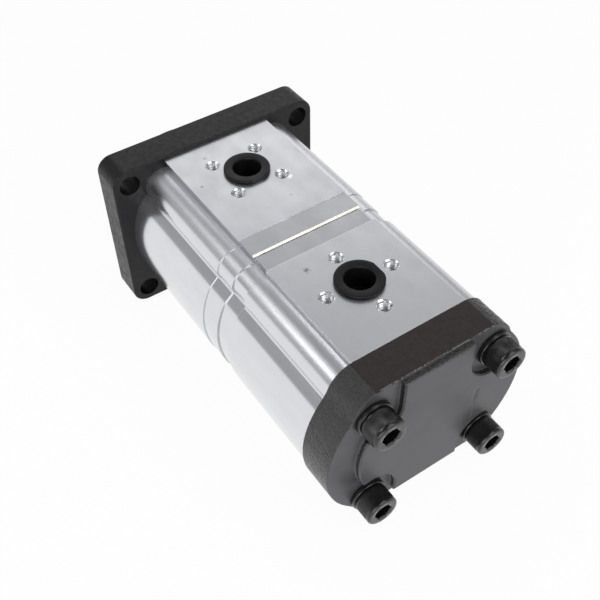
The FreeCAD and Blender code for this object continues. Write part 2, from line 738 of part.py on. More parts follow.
def rear_body():
    """The rear extrusion, bored right through, with a deeper neck at the joint."""
    body = new_body("rear_body", REAR_AT)
    neck = new_sketch(body, "neck_outline")
    body_outline(neck, "rear_neck_depth")
    pad(body, neck, "rear_neck_length")
    bevel_edges(body, lambda edge: lies_at(edge, 0) and is_level(edge), "joint_chamfer")
    full = new_sketch(body, "full_outline", offset="rear_neck_length")
    body_outline(full)
    pad(body, full, "%s - rear_neck_length" % REAR_LENGTH)
    gear_cavity(body, REAR_LENGTH)
    port(body, "pressure", REAR_PORT_AT, True, "pressure_port_diameter", "pressure_bolt_circle", False)
    port(body, "suction", REAR_PORT_AT, False, "suction_port_diameter", "suction_bolt_circle", False)
    screw_holes(body, "screw_holes", REAR_LENGTH)
    dowel_holes(body, "dowel_holes", REAR_LENGTH, along=False)
    return body


def pad_outline(sketch):
    """The raised pad of the cover: two wide arcs, cut back round each screw seat."""
    middle = number(MIDDLE)
    wide, room = number("cover_pad_radius"), number("cover_pad_screw_room")
    screw_across, screw_up = number("screw_spacing_wide") / 2, number(SCREW_SPACING_HIGH) / 2
    half_width = screw_across - room
    distance = math.hypot(screw_across, screw_up)
    along = (distance ** 2 + wide ** 2 - room ** 2) / (2 * distance)
    aside = math.sqrt(wide ** 2 - along ** 2)
    meet = (
        (along * screw_across + aside * screw_up) / distance,
        (along * screw_up - aside * screw_across) / distance,
    )
    cuts = {}
    levels = (
        (1, "(body_height / 2 - cover_edge_round - cover_pad_top_step)"),
        (-1, "(%s - cover_edge_round - cover_pad_bottom_step)" % COVER_BOTTOM),
    )
    for top, level in levels:
        for right in (1, -1):
            outer = Vector(middle + right * half_width, top * number(level), 0)
            inner = Vector(middle + right * half_width, top * screw_up, 0)
            touch = Vector(middle + right * meet[0], top * meet[1], 0)
            centre = Vector(middle + right * screw_across, top * screw_up, 0)
            wall = sketch.addGeometry(Part.LineSegment(outer, inner), False)
            ends = (inner, touch) if right * top > 0 else (touch, inner)
            seat = arc(sketch, centre, room, *ends)
            across = "%s + %d * (screw_spacing_wide / 2 - cover_pad_screw_room)" % (MIDDLE, right)
            pin(sketch, wall, 1, across, "%d * %s" % (top, level))
            join(sketch, "Tangent", wall, 2, seat, 1 if right * top > 0 else 2)
            screw = signed_corner(right, top, "screw_spacing_wide / 2", "%s / 2" % SCREW_SPACING_HIGH, "0")
            pin(sketch, seat, 3, *screw)
            constrain(sketch, "cover_pad_screw_room", "Radius", seat)
            cuts[right, top] = (wall, seat, 2 if right * top > 0 else 1, outer, touch)
    for right in (1, -1):
        low, high = cuts[right, -right], cuts[right, right]
        side = arc(sketch, Vector(middle, 0, 0), wide, low[4], high[4])
        pin(sketch, side, 3, MIDDLE, "0")
        constrain(sketch, "cover_pad_radius", "Radius", side)
        join(sketch, "Coincident", side, 1, low[1], low[2])
        join(sketch, "Coincident", side, 2, high[1], high[2])
    for top in (1, -1):
        right_cut, left_cut = cuts[1, top], cuts[-1, top]
        edge = sketch.addGeometry(Part.LineSegment(right_cut[3], left_cut[3]), False)
        join(sketch, "Coincident", edge, 1, right_cut[0], 1)
        join(sketch, "Coincident", edge, 2, left_cut[0], 1)


def rear_cover():
    """The cast cover with its raised pad and four machined screw seats."""
    body = new_body("rear_cover", COVER_AT)
    outline = new_sketch(body, "outline")
    cover_outline(outline)
    pad(body, outline, "cover_thickness")
    thickness = number("cover_thickness")
    round_edges(body, lambda edge: lies_at(edge, thickness), "cover_edge_round")
    raised = new_sketch(body, "raised_pad", offset="cover_thickness")
    pad_outline(raised)
    pad(body, raised, "cover_pad_height")
    crest = thickness + number("cover_pad_height")
    bevel_edges(body, lambda edge: lies_at(edge, crest), "cover_pad_edge_break")
    seats = new_sketch(body, "screw_seats", offset="cover_thickness")
    for across, up in SCREW_PLACES:
        circle(seats, across, up, "spot_face_diameter / 2")
    pocket(body, seats, "spot_face_depth")
    screw_holes(body, "screw_holes", "cover_thickness + cover_pad_height")
    seal_groove(body)
    dowel_holes(body, "dowel_holes")
    return body


def gear_outline():
    """One gear's face across its axis, with a tooth pointing along +X.

    The flanks are involutes of the base circle that suits the working pressure angle at the
    gears' axis spacing. Below the base circle they run straight to the root.
    """
    teeth = round(number("gear_teeth"))
    pitch = number("gear_axis_spacing / 2")
    angle = math.radians(number("working_pressure_angle"))
    base = pitch * math.cos(angle)
    tip = number(TIP_RADIUS)
    root = number("gear_axis_spacing") - tip - number("gear_tip_gap")
    width = math.pi * pitch / teeth - number("tooth_backlash") / 2
    half_at_base = width / (2 * pitch) + math.tan(angle) - angle
    steps = 6

    def at(radius, turn):
        return Vector(radius * math.cos(turn), 0, radius * math.sin(turn))

    def on_flank(unrolled, middle, side):
        """A flank point from the length of string unrolled off the base circle, in base radii."""
        fallen_back = unrolled - math.atan(unrolled)
        return at(base * math.hypot(1, unrolled), middle + side * (half_at_base - fallen_back))

    first = math.sqrt(max(root / base, 1) ** 2 - 1)
    last = math.sqrt((tip / base) ** 2 - 1)
    unrolls = [first + (last - first) * step / steps for step in range(steps + 1)]
    edges = []
    for tooth in range(teeth):
        middle = 2 * math.pi * tooth / teeth
        rising = [on_flank(unrolled, middle, -1) for unrolled in unrolls]
        falling = [on_flank(unrolled, middle, 1) for unrolled in reversed(unrolls)]
        foot_before = at(root, middle - half_at_base)
        foot_after = at(root, middle + half_at_base)
        next_foot = at(root, middle + 2 * math.pi / teeth - half_at_base)
        for points in (rising, falling):
            flank = Part.BSplineCurve()
            flank.interpolate(points)
            edges.append(flank.toShape())
        if root < base:
            edges.append(Part.LineSegment(foot_before, rising[0]).toShape())
            edges.append(Part.LineSegment(falling[-1], foot_after).toShape())
        edges.append(Part.Arc(rising[-1], at(tip, middle), falling[0]).toShape())
        valley = at(root, middle + math.pi / teeth)
        edges.append(Part.Arc(foot_after, valley, next_foot).toShape())
    return Part.Face(Part.Wire(Part.__sortEdges__(edges)))


def toothed_ring(name, station, width, across, half_step):
    """The teeth of one gear, in place, turned by half a tooth step where it is the driven one."""
    teeth = doc.addObject("Part::Feature", name)
    turn = 180 / number("gear_teeth") if half_step else 0
    teeth.Shape = gear_outline().extrude(Vector(0, -number(width), 0))
    place = Vector(number(across), -number(station), 0)
    teeth.Placement = Placement(place, Rotation(Vector(0, 1, 0), turn))
    return teeth


def splines(body, name, offset, reverse):
    """Straight splines on the end of a shaft."""
    sketch = new_sketch(body, name, offset=offset)
    rectangle(
        sketch, "0", "-spline_width / 2",
        "sqrt((spline_major_diameter / 2) ^ 2 - (spline_width / 2) ^ 2)", "spline_width / 2",
    )
    tooth = pad(body, sketch, "spline_length", reverse)
    return around(body, tooth, "Y_Axis", "spline_teeth")


def fused(label, *pieces):
    """One solid made of overlapping pieces."""
    whole = doc.addObject("Part::MultiFuse", label)
    whole.Label = label
    whole.Shapes = list(pieces)
    whole.Refine = True
    doc.recompute()
    return whole


def drive_shaft():
    """The drive shaft with the front driving gear, a tapered end and a splined tail.

    Its rear journal runs on through the seal in the partition, up to the splines.
    """
    core = new_body("drive_shaft_core")
    section = new_sketch(core, "section", "YZ_Plane")
    journal = "journal_diameter / 2"
    tail = "-%s" % TAIL_AT
    taper_front = "shaft_shoulder + taper_length"
    taper_small = "taper_diameter / 2 - taper_length / taper_ratio / 2"
    end = "%s + thread_length" % taper_front
    thread = "min(thread_diameter / 2; %s)" % taper_small
    polygon(section, [
        ("%s - spline_length" % tail, "0"), (end, "0"), (end, "%s - journal_chamfer" % thread),
        ("%s - journal_chamfer" % end, thread), (taper_front, thread), (taper_front, taper_small),
        ("shaft_shoulder", "taper_diameter / 2"), ("shaft_shoulder", "%s - journal_chamfer / 2" % journal),
        ("shaft_shoulder - journal_chamfer / 2", journal), ("%s + journal_chamfer" % tail, journal),
        (tail, "%s - journal_chamfer" % journal), (tail, "spline_minor_diameter / 2"),
        ("%s - spline_length" % tail, "spline_minor_diameter / 2"),
    ])
    revolve(core, section)
    splines(core, "tail_splines", "-%s" % tail, False)
    slot = new_sketch(core, "key_seat", "YZ_Plane", "-key_width / 2 - key_clearance")
    circle(slot, "shaft_shoulder + key_from_shoulder", KEY_UP, "key_radius + key_clearance")
    pocket(core, slot, "key_width + 2 * key_clearance", along_normal=True)
    gear_at = "flange_thickness + front_block_length + gear_side_clearance"
    teeth = toothed_ring("front_driving_teeth", gear_at, "front_gear_width", "0", False)
    return fused("drive_shaft", core, teeth)


def gear_with_journals(label, station, width, block, across, half_step, splined):
    """A gear between two journals, with splines ahead of the front journal where it is driven so."""
    core = new_body(label + "_core", station, across)
    section = new_sketch(core, "section", "YZ_Plane")
    journal = "journal_diameter / 2"
    front, back = "0", "-(%s + 2 * %s + 2 * gear_side_clearance)" % (width, block)
    profile = [
        (back, "0"), (front, "0"), (front, "%s - journal_chamfer" % journal),
        ("-journal_chamfer", journal), ("%s + journal_chamfer" % back, journal),
        (back, "%s - journal_chamfer" % journal),
    ]
    if splined:
        profile[1:2] = [
            ("spline_length", "0"), ("spline_length", "spline_minor_diameter / 2"),
            (front, "spline_minor_diameter / 2"),
        ]
    polygon(section, profile)
    revolve(core, section)
    if splined:
        splines(core, "nose_splines", "0", True)
    gear_at = "%s + %s + gear_side_clearance" % (station, block)
    teeth = toothed_ring(label + "_teeth", gear_at, width, across, half_step)
    return fused(label, core, teeth)


def bearing_block(label, station, length, faces_back):
    """A figure-eight bearing block with a bush bore for each journal.

    The balance seal's groove is on the side away from the gears, and the two shallow relief
    pockets that let trapped oil out of the mesh are on the side next to them.
    """
    body = new_body(label, station)
    outline = new_sketch(body, "outline")
    figure_eight(outline, BLOCK_RADIUS)
    pad(body, outline, length)
    bores = new_sketch(body, "bush_bores")
    circle(bores, "0", "0", BUSH_OUTER)
    circle(bores, "gear_axis_spacing", "0", BUSH_OUTER)
    pocket(body, bores, length, along_normal=True)
    gear_side, seal_side = (length, "0") if faces_back else ("0", length)
    seal = new_sketch(body, "balance_groove", offset=seal_side)
    figure_eight(seal, BALANCE_RADIUS)
    figure_eight(seal, "%s - balance_seal_width" % BALANCE_RADIUS)
    pocket(body, seal, "balance_seal_depth", along_normal=faces_back)
    relief = new_sketch(body, "relief_pockets", offset=gear_side)
    pitch = "sqrt((%s) ^ 2 - (%s) ^ 2)" % (BORE_RADIUS, MIDDLE)
    left, right = "%s - block_relief_width / 2" % MIDDLE, "%s + block_relief_width / 2" % MIDDLE
    rectangle(relief, left, "%s / 4" % pitch, right, "%s + block_relief_width / 2" % pitch)
    rectangle(relief, left, "-%s - block_relief_width / 2" % pitch, right, "-%s / 4" % pitch)
    pocket(body, relief, "block_relief_depth", along_normal=not faces_back)
    return body


def bush_pair(label, station, length):
    """Two plain bushes, one for each journal."""
    body = new_body(label, station)
    rings = new_sketch(body, "rings")
    for across in ("0", "gear_axis_spacing"):
        circle(rings, across, "0", BUSH_OUTER)
        circle(rings, across, "0", "journal_diameter / 2 + bush_clearance")
    pad(body, rings, length)
    return body


def balance_seal(label, station):
    """The figure-eight seal that fills the groove of a bearing block."""
    body = new_body(label, station)
    ring = new_sketch(body, "ring")
    figure_eight(ring, BALANCE_RADIUS)
    figure_eight(ring, "%s - balance_seal_width" % BALANCE_RADIUS)
    pad(body, ring, "balance_seal_depth")
    return body


def section_pieces(prefix, station, gear_width, block_length):
    """The two bearing blocks of a pump section with their bushes and balance seals."""
    second = "%s + %s + %s + 2 * gear_side_clearance" % (station, block_length, gear_width)
    names = ("%s_front_bearing_block" % prefix, "%s_rear_bearing_block" % prefix)
    pieces = []
    for name, at, faces_back in ((names[0], station, True), (names[1], second, False)):
        pieces.append(bearing_block(name, at, block_length, faces_back))
        stem = name.replace("_bearing_block", "")
        pieces.append(bush_pair(stem + "_bushes", at, block_length))
        seal_at = at if faces_back else "%s + %s - balance_seal_depth" % (at, block_length)
        pieces.append(balance_seal(stem + "_balance_seal", seal_at))
    return pieces


def coupling_sleeve():
    """The splined sleeve that joins the drive shaft to the rear driving gear."""
    body = new_body("coupling_sleeve", "%s + coupling_end_gap" % TAIL_AT)
    length = "%s - %s - 2 * coupling_end_gap" % (REAR_CAVITY_AT, TAIL_AT)
    ring = new_sketch(body, "ring")
    circle(ring, "0", "0", "coupling_diameter / 2")
    circle(ring, "0", "0", "spline_minor_diameter / 2 + spline_clearance")
    pad(body, ring, length)
    slot = new_sketch(body, "spline_slot")
    half = "(spline_width / 2 + spline_clearance)"
    rectangle(slot, "0", "-%s" % half, "spline_major_diameter / 2 + spline_clearance", half)
    cut = pocket(body, slot, length, along_normal=True)
    around(body, cut, "Y_Axis", "spline_teeth")
    radius, stations = number("coupling_diameter / 2"), (0, number(length))
    bevel_edges(
        body,
        lambda edge: is_round(edge, radius) and any(lies_at(edge, station) for station in stations),
        "journal_chamfer",
    )
    return body


def section_seal():
    """The lip seal in the partition that keeps the two sections' oil apart."""
    body = new_body("section_seal", "flange_thickness + %s" % FRONT_STACK)
    ring = new_sketch(body, "ring")
    circle(ring, "0", "0", "coupling_diameter / 2 + coupling_clearance")
    circle(ring, "0", "0", "journal_diameter / 2 + shaft_seal_lip_clearance")
    pad(body, ring, "section_seal_width")
    return body


def shaft_seal():
    """The lip seal of the drive shaft: a cased ring with a lip that rides on the journal."""
    body = new_body("shaft_seal")
    half = new_sketch(body, "half_section", "YZ_Plane")
    front = "pilot_height - ring_to_edge - ring_thickness - ring_clearance"
    back = "%s - shaft_seal_width" % front
    outer = "shaft_seal_diameter / 2"
    lip = "journal_diameter / 2 + shaft_seal_lip_clearance"
    web = "(%s - shaft_seal_wall)" % front
    middle = "(%s - shaft_seal_width / 2)" % front
    polygon(half, [
        (back, outer), (front, outer), (front, "%s + shaft_seal_wall" % lip),
        ("%s + shaft_seal_wall" % middle, lip), (middle, "%s + shaft_seal_wall / 2" % lip),
        ("%s + shaft_seal_wall" % back, "%s + shaft_seal_wall" % lip), (web, "%s + 2 * shaft_seal_wall" % lip),
        (web, "%s - shaft_seal_wall" % outer), (back, "%s - shaft_seal_wall" % outer),
    ])
    revolve(body, half)
    return body


def retaining_ring():
    """The open ring that holds the shaft seal in its seat."""
    body = new_body("retaining_ring")
    ring = new_sketch(body, "ring", offset="-(pilot_height - ring_to_edge - ring_clearance / 2)")
    outer = "shaft_seal_diameter / 2 + ring_groove_depth - ring_clearance"
    circle(ring, "0", "0", outer)
    circle(ring, "0", "0", "%s - ring_width" % outer)
    pad(body, ring, "ring_thickness")
    gap = new_sketch(body, "gap", offset="-pilot_height")
    rectangle(gap, "-ring_gap / 2", "-(%s) - 1" % outer, "ring_gap / 2", "0")
    pocket(body, gap, "pilot_height", along_normal=True)
    return body


def shaft_key():
    """The half-moon key in the taper."""
    body = new_body("shaft_key")
    face = new_sketch(body, "face", "YZ_Plane", "-key_width / 2")
    circle(face, "shaft_shoulder + key_from_shoulder", KEY_UP, "key_radius")
    pad(body, face, "key_width")
    top = new_sketch(body, "flat_top", "YZ_Plane", "-key_width / 2")
    ahead = "shaft_shoulder + key_from_shoulder"
    far = "2 * key_radius"
    rectangle(top, "%s - %s" % (ahead, far), KEY_UP, "%s + %s" % (ahead, far), "%s + %s" % (KEY_UP, far))
    pocket(body, top, "key_width", along_normal=True)
    return body


def shaft_nut():
    """The hexagon nut on the shaft's thread, with its chamfered outer corners."""
    bore = "thread_diameter / 2 + nut_clearance"
    body = new_body("shaft_nut", "-(shaft_shoulder + taper_length + nut_washer_thickness + nut_height)")
    hexagon_prism(body, "nut_width", "nut_height")
    hole = new_sketch(body, "bore")
    circle(hole, "0", "0", bore)
    pocket(body, hole, "nut_height", along_normal=True)
    corner = new_sketch(body, "corner_cut", "YZ_Plane")
    reach = "(nut_width / 2 / cos(30))"
    polygon(corner, [
        ("0", "%s - journal_chamfer" % reach), ("0", "%s + 1" % reach),
        ("-(journal_chamfer + 1) / 2", "%s + 1" % reach),
    ])
    groove(body, corner)
    return body


def hexagon_prism(body, width, length):
    """A six-sided bar of a width across flats, from the body's origin backwards."""
    sketch = new_sketch(body, "hexagon")
    hexagon(sketch, width)
    pad(body, sketch, length)


def hexagon(sketch, width, across="0", up="0"):
    """A regular hexagon of a width across flats."""
    corner = "%s / 2 / cos(30)" % width
    polygon(sketch, [
        ("%s + %s * cos(%d)" % (across, corner, turn), "%s + %s * sin(%d)" % (up, corner, turn))
        for turn in range(0, 360, 60)
    ])


def nut_washer():
    """The washer between the nut and the hub seat."""
    body = new_body("nut_washer", "-(shaft_shoulder + taper_length + nut_washer_thickness)")
    ring = new_sketch(body, "ring")
    circle(ring, "0", "0", "nut_washer_diameter / 2")
    circle(ring, "0", "0", "thread_diameter / 2 + nut_clearance")
    pad(body, ring, "nut_washer_thickness")
    return body


def through_screw():
    """One socket-head screw, on the drive axis, before it is set on the pattern."""
    body = new_body("through_screw_form")
    section = new_sketch(body, "section", "YZ_Plane")
    under = "(-(%s) - washer_thickness)" % SCREW_SEAT_AT
    point = "(-flange_thickness + screw_thread_length)"
    shank, head = "screw_diameter / 2", "screw_head_diameter / 2"
    top = "%s - screw_head_height" % under
    polygon(section, [
        (point, "0"), (point, "%s - journal_chamfer" % shank), ("%s - journal_chamfer" % point, shank),
        (under, shank), (under, "%s - screw_edge_round / 3" % head),
        ("%s - screw_edge_round / 3" % under, head), ("%s + screw_edge_round" % top, head),
        ("%s + screw_edge_round / 3" % top, "%s - screw_edge_round / 3" % head),
        (top, "%s - screw_edge_round" % head), (top, "0"),
    ])
    revolve(body, section)
    socket = new_sketch(body, "socket", offset="%s + washer_thickness + screw_head_height" % SCREW_SEAT_AT)
    hexagon(socket, "screw_socket_width")
    pocket(body, socket, "screw_socket_depth")
    return body


def washer():
    """One screw washer, on the drive axis, before it is set on the pattern."""
    body = new_body("washer_form", SCREW_SEAT_AT)
    ring = new_sketch(body, "ring")
    circle(ring, "0", "0", "washer_diameter / 2")
    circle(ring, "0", "0", "screw_diameter / 2 + washer_clearance")
    pad(body, ring, "washer_thickness")
    return body


def dowel(station):
    """One dowel pin across a joint, on the drive axis, before it is set in place."""
    body = new_body("dowel_form", station)
    section = new_sketch(body, "section", "YZ_Plane")
    radius, half = "dowel_diameter / 2", "dowel_length / 2"
    polygon(section, [
        ("-%s" % half, "0"), (half, "0"), (half, "%s - dowel_chamfer" % radius),
        ("%s - dowel_chamfer" % half, radius), ("-%s + dowel_chamfer" % half, radius),
        ("-%s" % half, "%s - dowel_chamfer" % radius),
    ])
    revolve(body, section)
    return body


def set_of(label, form, places):
    """Copies of one form at several places, kept as separate solids of one piece."""
    group = doc.addObject("Part::Feature", label)
    group.Label = label
    copies = [
        form.Shape.translated(Vector(number(across), 0, number(up)))
        for across, up in places
    ]
    group.Shape = Part.makeCompound(copies)
    return group


def transport_plug(label, station, top, diameter, flat_side):
    """A hollow plastic plug with a rim that is cut flat on one side."""
    side = 1 if top else -1
    seat = "%d * (body_height / 2 + plug_seat_gap)" % side
    body = new_body(label, station, MIDDLE, seat)
    section = new_sketch(body, "half_section", "XZ_Plane")
    stem = "%s / 2 - plug_clearance" % diameter
    rim = "%s / 2 + plug_rim_overhang" % diameter
    inside = "%s - plug_wall" % stem
    high = "%d * plug_rim_thickness" % side
    low = "-%d * plug_length" % side
    floor = "-%d * (plug_length - plug_floor)" % side
    lead = "-%d * (plug_length - plug_wall)" % side
    polygon(section, [
        ("0", low), ("%s - plug_wall / 2" % stem, low), (stem, lead), (stem, "0"), (rim, "0"), (rim, high),
        (inside, high), (inside, floor), ("0", floor),
    ])
    revolve(body, section, "V_Axis")
    flat = new_sketch(body, "flat", "XY_Plane", "-%d * plug_rim_thickness" % side)
    near, far = "%s - plug_flat_depth" % rim, "%s + 1" % rim
    if flat_side == "rear":
        rectangle(flat, "-(%s)" % rim, "-(%s)" % far, rim, "-(%s)" % near)
    else:
        rectangle(flat, near, "-(%s)" % rim, far, rim)
    pocket(body, flat, "3 * plug_rim_thickness", along_normal=top)
    return body


def build():
    """Make every piece and return them in the order of the assembly."""
    pieces = [mounting_flange(), front_body(), rear_body(), rear_cover(), drive_shaft()]
    pieces.append(gear_with_journals(
        "front_driven_gear", FRONT_AT, "front_gear_width", "front_block_length",
        "gear_axis_spacing", True, False,
    ))
    pieces.append(gear_with_journals(
        "rear_driving_gear", REAR_CAVITY_AT, "rear_gear_width", "rear_block_length", "0", False, True,
    ))
    pieces.append(gear_with_journals(
        "rear_driven_gear", REAR_CAVITY_AT, "rear_gear_width", "rear_block_length",
        "gear_axis_spacing", True, False,
    ))
    pieces.append(coupling_sleeve())
    pieces += section_pieces("front_section", FRONT_AT, "front_gear_width", "front_block_length")
    pieces += section_pieces("rear_section", REAR_CAVITY_AT, "rear_gear_width", "rear_block_length")
    pieces.append(face_seal("flange_seal", "flange_thickness - face_seal_depth"))
    pieces.append(face_seal("joint_seal", "%s - face_seal_depth" % REAR_AT))
    pieces.append(face_seal("cover_seal", COVER_AT))
    pieces += [section_seal(), shaft_seal(), retaining_ring(), shaft_key(), nut_washer(), shaft_nut()]
    pieces.append(set_of("through_screws", through_screw(), SCREW_PLACES))
    pieces.append(set_of("screw_washers", washer(), SCREW_PLACES))
    pieces.append(set_of("flange_dowels", dowel(FRONT_AT), DOWEL_PLACES))
    pieces.append(set_of("cover_dowels", dowel(COVER_AT), DOWEL_PLACES))
    front_port = "%s + %s" % (FRONT_AT, FRONT_PORT_AT)
    rear_port = "%s + %s" % (REAR_AT, REAR_PORT_AT)
    for name, station, top, diameter, flat_side in (
        ("front_pressure_plug", front_port, True, "pressure_port_diameter", "rear"),
        ("rear_pressure_plug", rear_port, True, "pressure_port_diameter", "right"),
        ("front_suction_plug", front_port, False, "suction_port_diameter", "rear"),
        ("rear_suction_plug", rear_port, False, "suction_port_diameter", "right"),
    ):
        pieces.append(transport_plug(name, station, top, diameter, flat_side))
    return pieces


def check_and_export(pieces):
    """Refuse a failed or broken piece, then write one file for each piece."""
    doc.recompute()
    for item in doc.Objects:
        if "Invalid" in item.State or "Error" in item.State:
            raise RuntimeError("%s failed: %s" % (item.Label, item.State))
    for piece in pieces:
        if piece.Shape.isNull() or not piece.Shape.isValid() or not piece.Shape.Solids:
            raise RuntimeError("%s has no valid shape" % piece.Label)
    os.makedirs("parts", exist_ok=True)
    for piece in pieces:
        piece.Shape.exportStep(os.path.join("parts", piece.Label + ".step"))
        box = piece.Shape.BoundBox
        print("%-34s %2d solids %10.1f mm3  x %.1f..%.1f y %.1f..%.1f z %.1f..%.1f" % (
            piece.Label, len(piece.Shape.Solids), piece.Shape.Volume,
            box.XMin, box.XMax, box.YMin, box.YMax, box.ZMin, box.ZMax,
        ))


check_and_export(build())
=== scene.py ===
"""Looks of a tandem external gear pump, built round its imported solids.

The pump has a black rectangular mounting flange, two extruded aluminium bodies with machined
port faces, a blackened cast cover and four long socket-head screws. Every length in the scene is
in metres, in the frame of the solids: +Y runs out along the drive shaft, +X points from the
drive shaft to the driven gear, and +Z is the pressure side.
"""

import json
import math

import bmesh
import bpy
from mathutils import Matrix, Vector, noise
from mathutils.kdtree import KDTree


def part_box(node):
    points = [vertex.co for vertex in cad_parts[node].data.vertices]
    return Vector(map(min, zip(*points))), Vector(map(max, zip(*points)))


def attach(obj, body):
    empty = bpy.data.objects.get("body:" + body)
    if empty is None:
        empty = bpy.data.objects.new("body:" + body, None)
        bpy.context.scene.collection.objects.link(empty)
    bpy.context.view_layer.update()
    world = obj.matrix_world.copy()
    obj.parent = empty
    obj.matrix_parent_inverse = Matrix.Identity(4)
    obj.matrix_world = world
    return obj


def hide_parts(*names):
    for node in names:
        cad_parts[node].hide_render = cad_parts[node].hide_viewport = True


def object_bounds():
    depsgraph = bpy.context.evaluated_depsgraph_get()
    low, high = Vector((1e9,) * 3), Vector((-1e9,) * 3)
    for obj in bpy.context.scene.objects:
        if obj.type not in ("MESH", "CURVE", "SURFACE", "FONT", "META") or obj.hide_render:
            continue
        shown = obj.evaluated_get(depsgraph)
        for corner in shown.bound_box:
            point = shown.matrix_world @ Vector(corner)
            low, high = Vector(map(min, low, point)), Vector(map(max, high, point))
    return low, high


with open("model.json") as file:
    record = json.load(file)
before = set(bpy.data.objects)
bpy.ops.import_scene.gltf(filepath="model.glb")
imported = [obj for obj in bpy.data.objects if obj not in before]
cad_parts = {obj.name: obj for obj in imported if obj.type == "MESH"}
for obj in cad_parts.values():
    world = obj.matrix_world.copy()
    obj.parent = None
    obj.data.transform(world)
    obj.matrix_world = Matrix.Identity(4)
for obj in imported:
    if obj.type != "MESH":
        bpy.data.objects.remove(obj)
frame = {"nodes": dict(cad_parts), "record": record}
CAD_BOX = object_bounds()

bl_info = {
    "name": "Tandem gear pump",
    "version": (1, 0, 0),
    "blender": (4, 5, 0),
    "location": "View3D > Sidebar > Gear pump",
    "description": "Finishes and fine forms of a tandem external gear pump",
    "category": "Object",
}

MM = 0.001
NODES = frame["nodes"]
MOUNTS = {mount["name"]: mount for mount in frame["record"]["mounts"]}
HOUSING = "housing"
AXIS_X, AXIS_Y, AXIS_Z = Vector((1, 0, 0)), Vector((0, 1, 0)), Vector((0, 0, 1))

# Places that the fine forms are built from, read from the solids
FRONT_LOW, FRONT_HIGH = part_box("front_body")
REAR_LOW, REAR_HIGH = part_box("rear_body")
SCREWS_LOW, SCREWS_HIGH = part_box("through_screws")
WASHERS_LOW, WASHERS_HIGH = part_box("screw_washers")
PAD_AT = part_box("rear_cover")[0].y
SHAFT_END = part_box("drive_shaft")[1].y
SHAFT_THREAD_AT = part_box("nut_washer")[0].y
PORT_FACE_LEVEL = REAR_HIGH.z
FLANGE_REAR = FRONT_HIGH.y
JOINT_AT = REAR_HIGH.y
COVER_AT = REAR_LOW.y
SEAT_AT = WASHERS_HIGH.y
MIDDLE_X = (FRONT_LOW.x + FRONT_HIGH.x) / 2
PORT_CORE_RADIUS = MOUNTS["front_pressure_port_bolts"]["dims"]["hole_r_mm"] * MM

# One quarter of the bodies' outline, measured from its middle: a screw boss, the round shoulder
# below it, and the hollow curve that joins them
BOSS_CENTRE, BOSS_RADIUS = Vector((32 * MM, 29 * MM)), 10.2 * MM
SHOULDER_CENTRE, SHOULDER_RADIUS = Vector((33.78 * MM, 12.8 * MM)), 16 * MM
WAIST_RADIUS = 7 * MM
# Above these levels lie the crests of the bosses, and the steps beside the port faces
BOSS_LEVEL, STEP_LEVEL = 34 * MM, 38 * MM
# The ports' countersinks lie within this reach of the middle
PORTS_REACH = 24 * MM
# The bodies are set in by these depths at their necks, and the rear body is full beyond its own
FRONT_NECK_DEPTH, REAR_NECK_DEPTH = 0.4 * MM, 1.1 * MM
REAR_NECK_END = JOINT_AT - 10.9 * MM

# Stains and a scraped spot on the pressure side's port faces: place across and along the
# pump and radius in millimetres, and how dark or light each is
STAINS = (
    (0.3, -122, 1.6, 0.45), (3, -28.4, 1.4, 0.75), (-9.2, -46.6, 0.8, 0.5), (30, -63.9, 1.8, 1.5),
    (22.8, -75.9, 1, 0.8),
)

# Each softbox by its heading from +Y towards +X and its height in degrees, its distance, width
# and height in metres, and how bright it looks
SOFTBOXES = {
    "key_softbox": (160, 45, 1.2, 0.8, 0.6, 3.2),
    "front_softbox": (225, 18, 1.3, 1.2, 0.7, 2.4),
    "top_softbox": (80, 74, 1.3, 0.6, 0.6, 1.2),
    "back_softbox": (30, 32, 1.3, 1.1, 0.66, 0.94),
    "crest_softbox": (-44, 48, 0.63, 0.26, 0.26, 0.95),
    "head_softbox": (-64, 44, 0.52, 0.14, 0.14, 2.8),
}


def linear(hexadecimal):
    """The linear colour of an sRGB hex value such as #2b2b2d."""
    parts = [int(hexadecimal[place:place + 2], 16) / 255 for place in (1, 3, 5)]
    return [part / 12.92 if part <= 0.04045 else ((part + 0.055) / 1.055) ** 2.4 for part in parts]


def colour_property(name, description, hexadecimal):
    return bpy.props.FloatVectorProperty(
        name=name, description=description, subtype="COLOR", size=3, min=0, max=1,
        default=linear(hexadecimal),
    )


def length_property(name, description, millimetres):
    return bpy.props.FloatProperty(
        name=name, description=description, subtype="DISTANCE", unit="LENGTH", min=0,
        default=millimetres * MM,
    )


